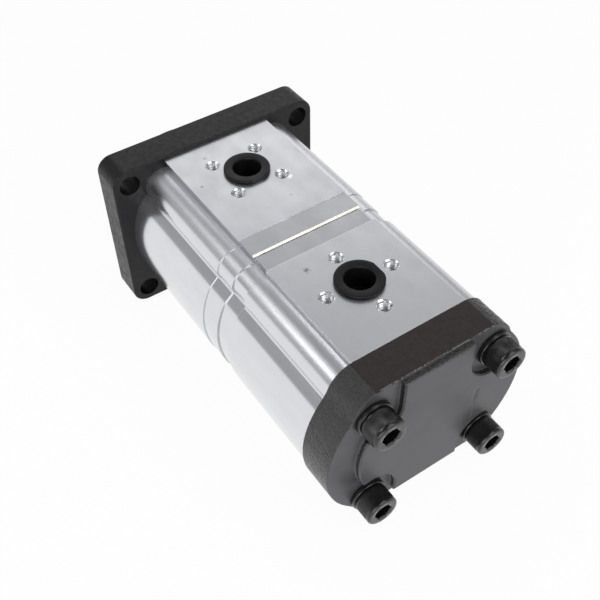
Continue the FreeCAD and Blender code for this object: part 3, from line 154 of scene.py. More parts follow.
class PumpColours(bpy.types.PropertyGroup):
    """Colours of the pump's finishes."""

    flange_paint: colour_property("Flange paint", "Satin black coat of the flange", "#0f0f11")
    port_face: colour_property("Port face", "Face-milled aluminium round the ports", "#d2d3d6")
    neck_face: colour_property("Neck", "Milled band of the bodies beside their joint", "#bcbdc0")
    joint_chamfer: colour_property("Joint chamfer", "Bright broken edges at the bodies' joint", "#d2cdc3")
    extruded_side: colour_property("Extruded side", "Side of the aluminium extrusions", "#dedfe2")
    cover_iron: colour_property("Cover", "Blackened iron casting", "#302f2f")
    cover_pad: colour_property("Cover pad", "Smoother pressed face of the casting", "#454548")
    cover_top: colour_property("Cover top", "Milled and blackened face of the cover", "#28221f")
    # Chipped wear and a painted highlight: this lighter strip stands in for the light caught by the cover
    # top's unrounded rear edge
    cover_edge_wear_and_highlight: colour_property("Cover edge", "Edge of the milled face, worn lighter", "#6e6a68")
    screw_steel: colour_property("Screws", "Black oxide on alloy steel", "#0d0d0e")
    # Some wear and painted light: the heads' end faces, which turn to the key softbox, get a much lighter
    # grey than the black oxide of the sides
    screw_face: colour_property("Screw faces", "Black oxide worn to grey on the heads", "#aeaeb4")
    plug_plastic: colour_property("Plugs", "Black plastic of the transport plugs", "#0f0f10")
    ground_steel: colour_property("Gears", "Ground case-hardened steel", "#b4b5b8")
    bright_steel: colour_property("Bright steel", "Zinc-bright nut, key, ring and dowels", "#bcbdc0")
    bush_bronze: colour_property("Bushes", "Bronze of the plain bushes", "#b08d57")
    block_aluminium: colour_property("Bearing blocks", "Turned aluminium of the blocks", "#c2c3c6")
    seal_rubber: colour_property("Seals", "Black nitrile rubber", "#1c1c1d")


class PumpSizes(bpy.types.PropertyGroup):
    """Fine sizes that the solids leave out."""

    edge_softness: length_property("Edge softness", "Width of the broken edges of milled parts", 0.25)
    port_thread: length_property("Port thread", "Outer diameter of the port screws' thread", 6)
    port_thread_pitch: length_property("Port thread pitch", "Rise of one turn of that thread", 1)
    sink_diameter: length_property("Countersink", "Diameter of the threaded holes' countersinks", 7.4)
    screw_diameter: length_property("Screw", "Outer diameter of the long screws' thread", 10)
    screw_pitch: length_property("Screw pitch", "Rise of one turn of that thread", 1.5)
    screw_thread_length: length_property("Screw thread", "Threaded length at the screws' ends", 26)
    head_diameter: length_property("Screw head", "Diameter of the knurled heads", 16)
    head_height: length_property("Head height", "Height of the heads above their washers", 10)
    socket_width: length_property("Socket", "Width across the flats of the hexagon sockets", 8)
    socket_depth: length_property("Socket depth", "Depth of the hexagon sockets", 5.2)
    knurl_depth: length_property("Knurl depth", "Depth of the fine knurls round the heads", 0.14)
    washer_diameter: length_property("Washer", "Outer diameter of the screws' washers", 17.4)
    washer_bore: length_property("Washer bore", "Diameter of the washers' holes", 10.4)
    shaft_thread: length_property("Shaft thread", "Outer diameter of the shaft end's thread", 12)
    shaft_pitch: length_property("Shaft thread pitch", "Rise of one turn of that thread", 1.5)
    casting_grain: length_property("Casting grain", "Spacing of the cast skin's bumps", 1.1)


class PumpStage(bpy.types.PropertyGroup):
    """Camera, floor and lights."""

    camera_at: bpy.props.FloatVectorProperty(
        name="Camera place", description="Where the photograph was taken from", subtype="TRANSLATION",
        unit="LENGTH", default=(-0.15582, -0.35219, 0.32508),
    )
    camera_aim: bpy.props.FloatVectorProperty(
        name="Camera aim", description="Point in the middle of the picture", subtype="TRANSLATION",
        unit="LENGTH", default=(0.00993, -0.10187, 0),
    )
    camera_roll: bpy.props.FloatProperty(
        name="Camera roll", description="Tilt of the picture about its middle", subtype="ANGLE",
        unit="ROTATION", default=math.radians(-0.903),
    )
    camera_lens: bpy.props.FloatProperty(
        name="Lens", description="Focal length in millimetres for a 36 mm frame", min=1, default=54.07,
    )
    floor_colour: colour_property("Floor", "Pale paper under the pump", "#f4f4f4")
    wall_colour: colour_property("Studio walls", "Grey of the room that polished metal mirrors", "#a8a8aa")
    ceiling_colour: colour_property("Studio ceiling", "Darker grey above the lamps", "#808082")


# Shader nodes

# Places of the two colours among a Mix node's inputs, and of the mixed one among its outputs
FIRST_COLOUR, SECOND_COLOUR, MIXED_COLOUR = 6, 7, 2


def add_node(tree, kind, inputs=None, **settings):
    """Add a node to a tree, set its properties, and fill or link its inputs by name or place."""
    made = tree.nodes.new(kind)
    for name, value in settings.items():
        setattr(made, name, value)
    for name, value in (inputs or {}).items():
        if isinstance(value, bpy.types.NodeSocket):
            tree.links.new(value, made.inputs[name])
        else:
            made.inputs[name].default_value = value
    return made


def new_surface(name, colour, metallic, roughness, ior=1.5):
    """A material with one principled shader. Returns the material, its tree and the shader."""
    material = bpy.data.materials.new(name)
    material.use_nodes = True
    tree = material.node_tree
    tree.nodes.clear()
    shader = add_node(tree, "ShaderNodeBsdfPrincipled", {
        "Base Color": (*colour, 1), "Metallic": metallic, "Roughness": roughness, "IOR": ior,
    })
    add_node(tree, "ShaderNodeOutputMaterial", {"Surface": shader.outputs["BSDF"]})
    return material, tree, shader


def grain(tree, spacing, detail, stretch=(1, 1, 1)):
    """Noise whose cells are as wide as a real spacing in millimetres, stretched along the axes."""
    place = add_node(tree, "ShaderNodeTexCoord")
    scale = [1 / (MM * spacing * along) for along in stretch]
    mapped = add_node(tree, "ShaderNodeMapping", {"Vector": place.outputs["Object"], "Scale": scale})
    made = add_node(tree, "ShaderNodeTexNoise", {
        "Vector": mapped.outputs["Vector"], "Scale": 1.0, "Detail": detail,
    })
    return made.outputs["Fac"]


def patches(tree, spacing, detail, stretch=(1, 1, 1), low=0, high=1, start=0.35, end=0.65):
    """Grain of a real spacing in millimetres, spread from one number to another."""
    made = add_node(tree, "ShaderNodeMapRange", {
        "Value": grain(tree, spacing, detail, stretch), "From Min": start, "From Max": end,
        "To Min": low, "To Max": high,
    })
    return made.outputs["Result"]


def relief(tree, shader, spacing, depth, strength, detail=2, stretch=(1, 1, 1)):
    """Raise a surface by grain of a real spacing and depth in millimetres, over what it has."""
    normal = shader.inputs["Normal"]
    inputs = {
        "Height": grain(tree, spacing, detail, stretch), "Distance": depth * MM, "Strength": strength,
    }
    if normal.is_linked:
        inputs["Normal"] = normal.links[0].from_socket
    made = add_node(tree, "ShaderNodeBump", inputs)
    tree.links.new(made.outputs["Normal"], normal)


def mottle(tree, shader, fac, colour, low, high):
    """Shade a surface from one factor of its colour to another."""
    made = add_node(tree, "ShaderNodeMix", {
        "Factor": fac, FIRST_COLOUR: (*tinted(colour, low), 1), SECOND_COLOUR: (*tinted(colour, high), 1),
    }, data_type="RGBA")
    tree.links.new(made.outputs[MIXED_COLOUR], shader.inputs["Base Color"])


def lay_over(tree, shader, fac, colour):
    """Lay a colour over a mottled surface by a factor."""
    base = shader.inputs["Base Color"]
    made = add_node(tree, "ShaderNodeMix", {
        "Factor": fac, FIRST_COLOUR: base.links[0].from_socket, SECOND_COLOUR: (*colour, 1),
    }, data_type="RGBA")
    tree.links.new(made.outputs[MIXED_COLOUR], base)


def vary_gloss(tree, shader, fac, low, high):
    """Vary a surface's roughness from one number to another by a factor."""
    made = add_node(tree, "ShaderNodeMapRange", {"Value": fac, "To Min": low, "To Max": high})
    tree.links.new(made.outputs["Result"], shader.inputs["Roughness"])


def tinted(colour, factor):
    """A colour made darker or lighter by a factor."""
    return [min(part * factor, 1) for part in colour]


def coated_iron(name, colour):
    """Cast iron, milled all round and dip-coated satin black.

    The coat is thin, so the milling lines that run along the plate's edge still show, and it
    is a little uneven in gloss and shade where it has been handled.
    """
    material, tree, shader = new_surface(name, colour, 0, 0.4, 1.36)
    mottle(tree, shader, patches(tree, 7, detail=4), colour, 0.8, 1.5)
    vary_gloss(tree, shader, patches(tree, 2.5, detail=3), 0.34, 0.5)
    # Milling lines are 0.05 mm apart on the real plate; 0.35 mm apart they still show in the render
    relief(tree, shader, 0.35, 0.02, strength=0.4, detail=1, stretch=(60, 1, 60))
    relief(tree, shader, 0.7, 0.015, strength=0.3, detail=3)
    return material


def stain(tree, centre, radius):
    """1 within a ragged stain round a place, and 0 outside it."""
    place = add_node(tree, "ShaderNodeTexCoord")
    away = add_node(tree, "ShaderNodeVectorMath", {
        0: place.outputs["Object"], 1: centre,
    }, operation="DISTANCE")
    rim = patches(tree, 1.1, detail=3, low=-0.4 * radius, high=0.4 * radius)
    ragged = add_node(tree, "ShaderNodeMath", {0: away.outputs["Value"], 1: rim}, operation="ADD")
    inside = add_node(tree, "ShaderNodeMapRange", {
        "Value": ragged.outputs["Value"], "From Min": 0.5 * radius, "From Max": radius,
        "To Min": 1, "To Max": 0,
    })
    return inside.outputs["Result"]


def milled_aluminium(name, colour, roughness, scuffs=0.12, stains=()):
    """Aluminium, face-milled with a fine feed: an even silvery grey, scuffed by handling.

    Each stain is a place, a radius and the factor by which it is darker or lighter.
    """
    material, tree, shader = new_surface(name, colour, 1, roughness)
    # Cutter marks are 0.1 mm apart on the real face; 0.4 mm apart they still show in the render
    relief(tree, shader, 0.4, 0.003, strength=0.3, detail=1, stretch=(40, 1, 1))
    relief(tree, shader, 0.25, 0.003, strength=0.3)
    cloud = patches(tree, 9, detail=5, stretch=(1, 1.6, 1))
    scratch = patches(
        tree, 1.4, detail=3, stretch=(5, 0.35, 1), high=scuffs * 4, start=0.66, end=0.8,
    )
    worn = add_node(tree, "ShaderNodeMath", {0: cloud, 1: 0.3, 2: scratch}, operation="MULTIPLY_ADD")
    mottle(tree, shader, worn.outputs["Value"], colour, 1, 0.78)
    for centre, radius, factor in stains:
        lay_over(tree, shader, stain(tree, centre, radius), tinted(colour, factor))
    vary_gloss(tree, shader, cloud, roughness - 0.03, roughness + 0.03)
    return material


def extruded_aluminium(name, colour):
    """Aluminium, extruded and left as it came from the die: glossy, with faint die lines along Y.

    The crests of the screw bosses are duller and grainy, with small white specks painted on as
    glints, where the wide sides mirror the room in clean bands.
    """
    material, tree, shader = new_surface(name, colour, 0.94, 0.2)
    place = add_node(tree, "ShaderNodeTexCoord")
    parts = add_node(tree, "ShaderNodeSeparateXYZ", {"Vector": place.outputs["Object"]})
    level = add_node(tree, "ShaderNodeMath", {0: parts.outputs["Z"]}, operation="ABSOLUTE")
    crest = add_node(tree, "ShaderNodeMapRange", {
        "Value": level.outputs["Value"], "From Min": BOSS_LEVEL, "From Max": BOSS_LEVEL + 2 * MM,
    }).outputs["Result"]
    # Die lines are 0.1 mm apart on the real side; 0.5 mm apart they still show in the render
    relief(tree, shader, 0.5, 0.0012, strength=0.3, detail=1, stretch=(1, 200, 1))
    cloud = patches(tree, 6, detail=5, stretch=(1, 3, 1), high=0.1)
    pits = patches(tree, 0.7, detail=1, high=0.6, start=0.74, end=0.8)
    dull = add_node(tree, "ShaderNodeMath", {0: crest, 1: 0.22, 2: pits}, operation="MULTIPLY_ADD")
    worn = add_node(tree, "ShaderNodeMath", {0: dull.outputs["Value"], 1: cloud}, operation="ADD")
    mottle(tree, shader, worn.outputs["Value"], colour, 1, 0.6)
    # Painted glints: white specks on the crests stand in for the sparkle of their grainy skin
    specks = add_node(tree, "ShaderNodeMath", {
        0: patches(tree, 0.32, detail=1, start=0.6, end=0.72), 1: crest,
    }, operation="MULTIPLY")
    lay_over(tree, shader, specks.outputs["Value"], (1, 1, 1))
    vary_gloss(tree, shader, crest, 0.18, 0.34)
    return material


def cast_iron(name, colour, grain_spacing, depth, gloss):
    """Grey iron, sand-cast and blackened: a pitted charcoal skin whose lumps catch an oily gloss."""
    material, tree, shader = new_surface(name, colour, 0, 0.46)
    mottle(tree, shader, patches(tree, 2.4, detail=5), colour, 0.9, 1.12)
    vary_gloss(tree, shader, patches(tree, 1.5, detail=4), gloss, gloss + 0.12)
    relief(tree, shader, grain_spacing / MM, depth, strength=0.8, detail=4)
    relief(tree, shader, 0.35, depth / 14, strength=0.5)
    return material


def pressed_iron(name, colour):
    """Grey iron, cast against a smooth mould face: even satin black, with wide oily stains."""
    material, tree, shader = new_surface(name, colour, 0, 0.44)
    stains = patches(tree, 16, detail=3, stretch=(1, 1, 0.6), start=0.38, end=0.6)
    specks = patches(tree, 0.9, detail=3, high=0.16)
    shade = add_node(tree, "ShaderNodeMath", {0: stains, 1: specks}, operation="ADD")
    mottle(tree, shader, shade.outputs["Value"], colour, 0.74, 1.14)
    vary_gloss(tree, shader, stains, 0.4, 0.48)
    relief(tree, shader, 2.2, 0.012, strength=0.4, detail=4)
    relief(tree, shader, 0.4, 0.003, strength=0.3)
    return material


def milled_iron(name, colour):
    """Grey iron, milled flat and blackened: brownish charcoal and nearly matt, with fine specks."""
    material, tree, shader = new_surface(name, colour, 0, 0.55, 1.4)
    mottle(tree, shader, patches(tree, 2, detail=6), colour, 0.8, 1.25)
    vary_gloss(tree, shader, patches(tree, 0.8, detail=3), 0.48, 0.62)
    relief(tree, shader, 0.35, 0.02, strength=0.5, detail=3)
    return material


def oxide_steel(name, colour, roughness=0.3):
    """Alloy steel, cold-headed, black-oxidised and oiled: nearly black, with sharp highlights."""
    material, tree, shader = new_surface(name, colour, 0, roughness, 1.6)
    cloud = patches(tree, 2.2, detail=4)
    mottle(tree, shader, cloud, colour, 0.9, 1.2)
    vary_gloss(tree, shader, cloud, roughness - 0.03, roughness + 0.04)
    relief(tree, shader, 0.3, 0.003, strength=0.3)
    return material


def moulded_plastic(name, colour):
    """Low-density polyethylene, injection-moulded black, with a fine matt tool texture."""
    material, tree, shader = new_surface(name, colour, 0, 0.4, 1.33)
    cloud = patches(tree, 3, detail=3)
    mottle(tree, shader, cloud, colour, 0.9, 1.25)
    vary_gloss(tree, shader, cloud, 0.34, 0.46)
    relief(tree, shader, 0.25, 0.01, strength=0.3)
    return material


def turned_metal(name, colour, roughness, lines=1.0):
    """Metal turned or ground on an axis along Y: rings of fine lines, a clean even shine."""
    material, tree, shader = new_surface(name, colour, 1, roughness)
    relief(tree, shader, 0.3, 0.008 * lines, strength=0.4, detail=1, stretch=(40, 1, 40))
    relief(tree, shader, 0.4, 0.004 * lines, strength=0.3)
    cloud = patches(tree, 4, detail=4)
    mottle(tree, shader, cloud, colour, 0.88, 1)
    vary_gloss(tree, shader, cloud, roughness - 0.05, roughness + 0.05)
    return material


def moulded_rubber(name, colour):
    """Nitrile rubber, moulded: black and dull, with a faint bloom."""
    material, tree, shader = new_surface(name, colour, 0, 0.6, 1.52)
    bloom = patches(tree, 2.5, detail=4)
    mottle(tree, shader, bloom, colour, 1, 1.6)
    vary_gloss(tree, shader, bloom, 0.5, 0.7)
    relief(tree, shader, 0.4, 0.01, strength=0.4)
    return material


# Mesh building

def seat(origin, axis, across):
    """A matrix that stands its Z along an axis and its X across it, at a place."""
    up = Vector(axis).normalized()
    side = Vector(across).normalized()
    turned = Matrix((side, up.cross(side), up)).transposed().to_4x4()
    return Matrix.Translation(origin) @ turned


def corner_seats(low, high, radius):
    """Seats of four round pieces at the corners of a box, facing out of the cover.

    The pieces' columns start at the top, so that the sockets' corners point up and down.
    """
    return [
        seat(Vector((x, low.y, z)), -AXIS_Y, AXIS_Z)
        for x in (low.x + radius, high.x - radius)
        for z in (low.z + radius, high.z - radius)
    ]


def ring(place, along, radius, columns):
    """Points round the axis of a place. The radius is a number, or a function of the angle."""
    points = []
    for column in range(columns):
        angle = 2 * math.pi * column / columns
        reach = radius(angle) if callable(radius) else radius
        points.append(place @ Vector((reach * math.cos(angle), reach * math.sin(angle), along)))
    return points


def turned(place, section, columns):
    """Rings of a section turned about a place's axis. Its points are how far up and how far out."""
    return [
        ring(place, along, reach, columns) if reach else [place @ Vector((0, 0, along))]
        for along, reach in section
    ]


def skin(bm, rings):
    """Join rings of points into a skin. A ring of one point closes it to a pole."""
    made = [[bm.verts.new(point) for point in points] for points in rings]
    for near, far in zip(made, made[1:]):
        for turn in range(max(len(near), len(far))):
            corners = [
                near[turn % len(near)], near[(turn + 1) % len(near)],
                far[(turn + 1) % len(far)], far[turn % len(far)],
            ]
            bm.faces.new(list(dict.fromkeys(corners)))


def finish_mesh(bm, name, smooth_below=35):
    """Turn a bmesh into a mesh with outward faces, smooth below an angle in degrees."""
    bmesh.ops.recalc_face_normals(bm, faces=bm.faces)
    mesh = bpy.data.meshes.new(name)
    bm.to_mesh(mesh)
    bm.free()
    mesh.shade_smooth()
    mesh.set_sharp_from_angle(angle=math.radians(smooth_below))
    return mesh


def add_piece(mesh, name, body, materials, replaced=()):
    """Put a finished mesh in the scene as a piece that rides on a body."""
    piece = bpy.data.objects.new(name, mesh)
    bpy.context.scene.collection.objects.link(piece)
    for material in materials:
        mesh.materials.append(material)
    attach(piece, body)
    if replaced:
        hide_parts(*replaced)
    return piece


def solid_copy(node):
    """A bmesh of a solid's own mesh, with its split edges joined and its flat faces whole."""
    bm = bmesh.new()
    bm.from_mesh(NODES[node].data)
    bmesh.ops.remove_doubles(bm, verts=bm.verts, dist=1e-7)
    flat = math.radians(0.2)
    bmesh.ops.dissolve_limit(bm, angle_limit=flat, verts=bm.verts, edges=bm.edges)
    return bm


def with_modifiers(bm, name, *steps):
    """The mesh that a bmesh becomes under modifiers, each given as its kind and its settings."""
    blank = bpy.data.objects.new(name, finish_mesh(bm, name))
    bpy.context.scene.collection.objects.link(blank)
    for kind, settings in steps:
        modifier = blank.modifiers.new(kind, kind)
        for setting, value in settings.items():
            setattr(modifier, setting, value)
    graph = bpy.context.evaluated_depsgraph_get()
    mesh = bpy.data.meshes.new_from_object(blank.evaluated_get(graph))
    mesh.name = name
    bpy.data.objects.remove(blank)
    return mesh


def soft_edged(bm, name, width, share=lambda edge: 1.0):
    """The mesh of a bmesh with its sharp edges rounded and its flat faces shaded flat.

    The share gives each sharp edge its part of the full width.
    """
    weight = bm.edges.layers.float.new("bevel_weight_edge")
    limit = math.radians(28)
    for edge in bm.edges:
        if len(edge.link_faces) == 2 and edge.calc_face_angle(0) > limit:
            edge[weight] = share(edge)
    return with_modifiers(
        bm, name,
        ("BEVEL", {"width": width, "segments": 3, "limit_method": "WEIGHT", "harden_normals": True}),
        ("WEIGHTED_NORMAL", {"weight": 100, "keep_sharp": True}),
    )


def paint_node(node, material):
    """Give a solid that keeps its own mesh a finish."""
    slots = NODES[node].data.materials
    slots.clear()
    slots.append(material)


def thread_rings(place, start, end, outer, depth, pitch, columns, steps=8):
    """Rings of a screw thread between two heights, from its outer radius in by a depth.

    The steps are the rings in one turn of the thread.
    """
    rings = []
    rows = round(abs(end - start) / pitch * steps)
    for row in range(rows + 1):
        along = start + (end - start) * row / rows

        def radius(angle, along=along):
            phase = (along / pitch - angle / (2 * math.pi)) % 1
            # The flanks leave narrow flats at the crest and at the root
            slope = abs(2 * phase - 1) * 1.3 - 0.15
            return outer - depth * min(max(slope, 0), 1)

        rings.append(ring(place, along, radius, columns))
    return rings


def port_holes():
    """Each threaded hole of the four ports: its place on the port face, the way out, and its port."""
    holes = []
    for name, mount in MOUNTS.items():
        if not name.endswith("_port_bolts"):
            continue
        centre, outward = Vector(mount["pos_m"]), Vector(mount["axis"])
        radius = mount["dims"]["pcd_mm"] / 2 * MM
        turn = math.pi / 4 if name.startswith("front") else 0
        for quarter in range(4):
            angle = turn + quarter * math.pi / 2
            aside = Vector((radius * math.cos(angle), radius * math.sin(angle), 0))
            level = outward.z * PORT_FACE_LEVEL
            holes.append((Vector((centre.x + aside.x, centre.y + aside.y, level)), outward, name))
    return holes


class PUMP_OT_flange(bpy.types.Operator):
    """Build the coated mounting flange with softened edges"""

    bl_idname = "pump.flange"
    bl_label = "Mounting flange"

    def execute(self, context):
        colours, sizes = context.scene.pump_colours, context.scene.pump_sizes
        mesh = soft_edged(solid_copy("mounting_flange"), "flange", sizes.edge_softness)
        add_piece(
            mesh, "flange", HOUSING,
            [coated_iron("satin black coated iron", colours.flange_paint)], ["mounting_flange"],
        )
        return {"FINISHED"}


class PUMP_OT_bodies(bpy.types.Operator):
    """Build the two aluminium bodies with milled port faces and necks"""

    bl_idname = "pump.bodies"
    bl_label = "Pump bodies"

    def execute(self, context):
        colours, sizes = context.scene.pump_colours, context.scene.pump_sizes
        materials = [
            extruded_aluminium("extruded aluminium", colours.extruded_side),
            milled_aluminium("face-milled aluminium", colours.port_face, 0.36, stains=[
                (Vector((x * MM, y * MM, PORT_FACE_LEVEL)), radius * MM, factor)
                for x, y, radius, factor in STAINS
            ]),
            milled_aluminium("milled aluminium neck", colours.neck_face, 0.34),
            turned_metal("countersunk aluminium", tinted(colours.port_face, 1.4), 0.2, 0.5),
            milled_aluminium("milled aluminium step", colours.extruded_side, 0.14, 0),
            milled_aluminium("chamfered aluminium", colours.joint_chamfer, 0.4, 0),
        ]
        for node in ("front_body", "rear_body"):
            bm = solid_copy(node)
            self.open_holes(bm, sizes)
            self.sharpen_waists(bm)
            mesh = soft_edged(bm, node + "_dressed", sizes.edge_softness * 2, self.edge_share)
            for face in mesh.polygons:
                face.material_index = self.finish_of(face)
            add_piece(mesh, node + "_dressed", HOUSING, materials, [node])
        return {"FINISHED"}

    @staticmethod
    def edge_share(edge):
        """The rim where the wide side of the rear body ends over its neck is the most rounded edge."""
        ends = [vertex.co for vertex in edge.verts]
        return 1.0 if all(abs(end.y - REAR_NECK_END) < 0.05 * MM for end in ends) else 0.3

    @staticmethod
    def finish_of(face):
        """0 for an extruded side, 1 for a port face or an end, 2 for a neck, 3 for a countersink,
        4 for a step, 5 for a chamfer at the joint.
        """
        across, along, upward = (abs(part) for part in face.normal)
        deep = PORT_FACE_LEVEL - abs(face.center.z)
        if 0.6 < upward < 0.8 and along > 0.6 and abs(face.center.y - JOINT_AT) < 2 * MM:
            return 5
        if across > 0.99 and abs(face.center.z) > STEP_LEVEL:
            return 4
        near_ports = abs(face.center.x - MIDDLE_X) < PORTS_REACH
        if near_ports and upward < 0.97 and 0.02 * MM < deep < 1.3 * MM:
            return 3
        if upward > 0.99 and deep < 2 * MM:
            return 1 if deep < 0.1 * MM else 2
        return 1 if along > 0.5 else 0

    @staticmethod
    def sharpen_waists(bm):
        """Draw the root below each screw boss in to the die's sharp corner.

        Below the corner the outline runs straight into the shoulder. This is done for the full
        outline and for those of both necks, in all four quarters at once.
        """
        boss, shoulder = BOSS_CENTRE, SHOULDER_CENTRE
        for inset in (0, FRONT_NECK_DEPTH, REAR_NECK_DEPTH):
            boss_radius, shoulder_radius = BOSS_RADIUS - inset, SHOULDER_RADIUS - inset
            radius = WAIST_RADIUS + inset
            gap = boss - shoulder
            far, near = boss_radius + radius, shoulder_radius + radius
            along = (near ** 2 - far ** 2 + gap.length_squared) / (2 * gap.length)
            step = gap.normalized()
            aside = math.sqrt(near ** 2 - along ** 2)
            centre = shoulder + step * along + Vector((step.y, -step.x)) * aside
            start, end = (centre + (side - centre).normalized() * radius for side in (boss, shoulder))
            slope = Vector((shoulder.y - end.y, end.x - shoulder.x)).normalized()
            back = -(end - boss).dot(slope)
            corner = end + slope * (
                back - math.sqrt(back ** 2 - (end - boss).length_squared + boss_radius ** 2)
            )
            whole = (end - centre).angle(start - centre)
            rooted = []
            for vertex in bm.verts:
                place = Vector((abs(vertex.co.x - MIDDLE_X), abs(vertex.co.z)))
                on_curve = abs((place - centre).length - radius) < 0.03 * MM
                if on_curve and end.y - 1e-6 < place.y < start.y + 1e-6:
                    share = (place - centre).angle(start - centre) / whole
                    rooted.append((vertex, round(share, 3)))
            if not rooted:
                continue
            knee = min((share for vertex, share in rooted), key=lambda share: abs(share - 0.5))
            for vertex, share in rooted:
                if share <= knee:
                    leg = (start - boss).lerp(corner - boss, share / knee)
                    place = boss + leg.normalized() * boss_radius
                else:
                    place = corner.lerp(end, (share - knee) / (1 - knee))
                vertex.co.x = MIDDLE_X + math.copysign(place.x, vertex.co.x - MIDDLE_X)
                vertex.co.z = math.copysign(place.y, vertex.co.z)

    @staticmethod
    def open_holes(bm, sizes):
        """Widen the drilled holes of the ports to their thread's outer diameter."""
        wide = sizes.port_thread / 2 + 0.02 * MM
        sink = sizes.sink_diameter / 2
        mouth, bottom = 0.5 * MM, 14 * MM
        for centre, outward, port in port_holes():
            for vertex in bm.verts:
                aside = Vector((vertex.co.x - centre.x, vertex.co.y - centre.y, 0))
                deep = (centre.z - vertex.co.z) * outward.z
                if mouth < deep < bottom and abs(aside.length - PORT_CORE_RADIUS) < 0.2 * MM:
                    aside *= wide / aside.length
                    vertex.co.x, vertex.co.y = centre.x + aside.x, centre.y + aside.y
                    if deep < 2 * MM:
                        vertex.co.z = centre.z - outward.z * (sink - wide)


class PUMP_OT_port_threads(bpy.types.Operator):
    """Cut the threads of the four holes round each port"""

    bl_idname = "pump.port_threads"
    bl_label = "Port threads"

    def execute(self, context):
        colours, sizes = context.scene.pump_colours, context.scene.pump_sizes
        bright = turned_metal("tapped aluminium", tinted(colours.port_face, 1.25), 0.4, 0)
        outer, pitch = sizes.port_thread / 2, sizes.port_thread_pitch
        depth = 0.5 * pitch
        start, end = -0.7 * MM, -12 * MM
        ports = {}
        for centre, outward, port in port_holes():
            ports.setdefault(port.replace("_bolts", ""), []).append((centre, outward))
        for port, holes in ports.items():
            bm = bmesh.new()
            for centre, outward in holes:
                place = seat(centre, outward, AXIS_X)
                skin(bm, thread_rings(place, start, end, outer, depth, pitch, 64, 12))
            mesh = finish_mesh(bm, port + "_threads", 60)
            mesh.flip_normals()
            add_piece(mesh, port + "_threads", HOUSING, [bright])
        return {"FINISHED"}


class PUMP_OT_cover(bpy.types.Operator):
    """Build the blackened iron cover with its rough cast skin"""

    bl_idname = "pump.cover"
    bl_label = "Rear cover"

    def execute(self, context):
        colours, spacing = context.scene.pump_colours, context.scene.pump_sizes.casting_grain
        cast = with_modifiers(
            solid_copy("rear_cover"), "cover_blank",
            ("REMESH", {"mode": "SHARP", "octree_depth": 8, "scale": 0.96, "sharpness": 1.0}),
        )
        bm = bmesh.new()
        bm.from_mesh(cast)
        self.fill_pad_foot(bm)
        bm.normal_update()
        moves = [self.cast_move(vertex, spacing) for vertex in bm.verts]
        for vertex, move in zip(bm.verts, moves):
            vertex.co += vertex.normal * move
        bm.normal_update()
        for face in bm.faces:
            face.material_index = self.finish_of(face)
        add_piece(
            finish_mesh(bm, "cast_cover", 40), "cast_cover", HOUSING,
            [
                cast_iron("blackened cast iron skin", colours.cover_iron, spacing, 0.9, 0.22),
                milled_iron("milled and blackened iron", colours.cover_top),
                pressed_iron("blackened pressed iron face", colours.cover_pad),
                milled_iron("worn iron edge", colours.cover_edge_wear_and_highlight),
            ],
            ["rear_cover"],
        )
        return {"FINISHED"}

    @staticmethod
    def finish_of(face):
        """0 for the cast sides, 1 for the milled top, 2 for the pad and the face round it, 3 for
        the strip along the top's rear edge, worn and painted lighter as the edge's highlight.
        """
        centre, normal = face.calc_center_median(), face.normal
        if normal.z > 0.9 and centre.z > PORT_FACE_LEVEL - 0.2 * MM:
            # A lighter strip along the top's rear edge: chipped wear, and a painted highlight for the edge,
            # which is left unrounded
            worn = centre.y < SEAT_AT + 0.5 * MM and noise.noise(centre / (4 * MM)) > -0.25
            return 3 if worn else 1
        return 2 if normal.y < -0.5 else 0

    @staticmethod
    def fill_pad_foot(bm):
        """Ease the inner corner where the raised pad meets the cover."""
        reach, rounds = 2.6 * MM, 14
        crest = [vertex.co.copy() for vertex in bm.verts if vertex.co.y < PAD_AT + 0.3 * MM]
        tree = KDTree(len(crest))
        for index, place in enumerate(crest):
            tree.insert((place.x, 0, place.z), index)
        tree.balance()
        foot = []
        for vertex in bm.verts:
            place = vertex.co
            if PAD_AT + 1 * MM < place.y < SEAT_AT + 0.3 * MM and place.z < PORT_FACE_LEVEL - 2 * MM:
                if tree.find((place.x, 0, place.z))[2] < reach:
                    foot.append(vertex)
        for turn in range(rounds):
            bmesh.ops.smooth_vert(
                bm, verts=foot, factor=0.5, use_axis_x=True, use_axis_y=True, use_axis_z=True,
            )

    @staticmethod
    def cast_move(vertex, grain_spacing):
        """How far the skin stands in at a vertex: it is rough on the cast sides, and plain where it
        is machined and on the pad, but for the pad's lap.
        """
        place, normal = vertex.co, vertex.normal
        if place.y > COVER_AT - 0.3 * MM:
            return 0
        if normal.z > 0.95 and place.z > PORT_FACE_LEVEL - 0.2 * MM:
            return 0
        if normal.y < -0.9:
            return PUMP_OT_cover.lap_depth(place)
        rough = 0.14 * MM if abs(normal.y) < 0.6 and normal.z > 0.2 else 0.05 * MM
        fine = noise.noise(place / grain_spacing)
        wide = noise.noise(place / (9 * MM))
        return min(rough * (fine + 0.6 * wide) - 0.7 * rough, 0)

    @staticmethod
    def lap_depth(place):
        """A lap in the casting: a ragged sliver of a dent in the pad, wide above and fine below."""
        if place.y > PAD_AT + 0.5 * MM:
            return 0
        start, end = Vector((40 * MM, 10 * MM)), Vector((38.5 * MM, -13 * MM))
        share = (start.y - place.z) / (start.y - end.y)
        if not 0 < share < 1:
            return 0
        wander = noise.noise(Vector((0, 0, place.z / (3 * MM)))) * 1.2 * MM
        width = (1.9 - 1.3 * share) * MM
        away = abs(place.x - start.lerp(end, share).x - wander)
        fade = 0.15
        return -0.5 * MM * max(1 - away / width, 0) * min(share, 1 - share, fade) / fade


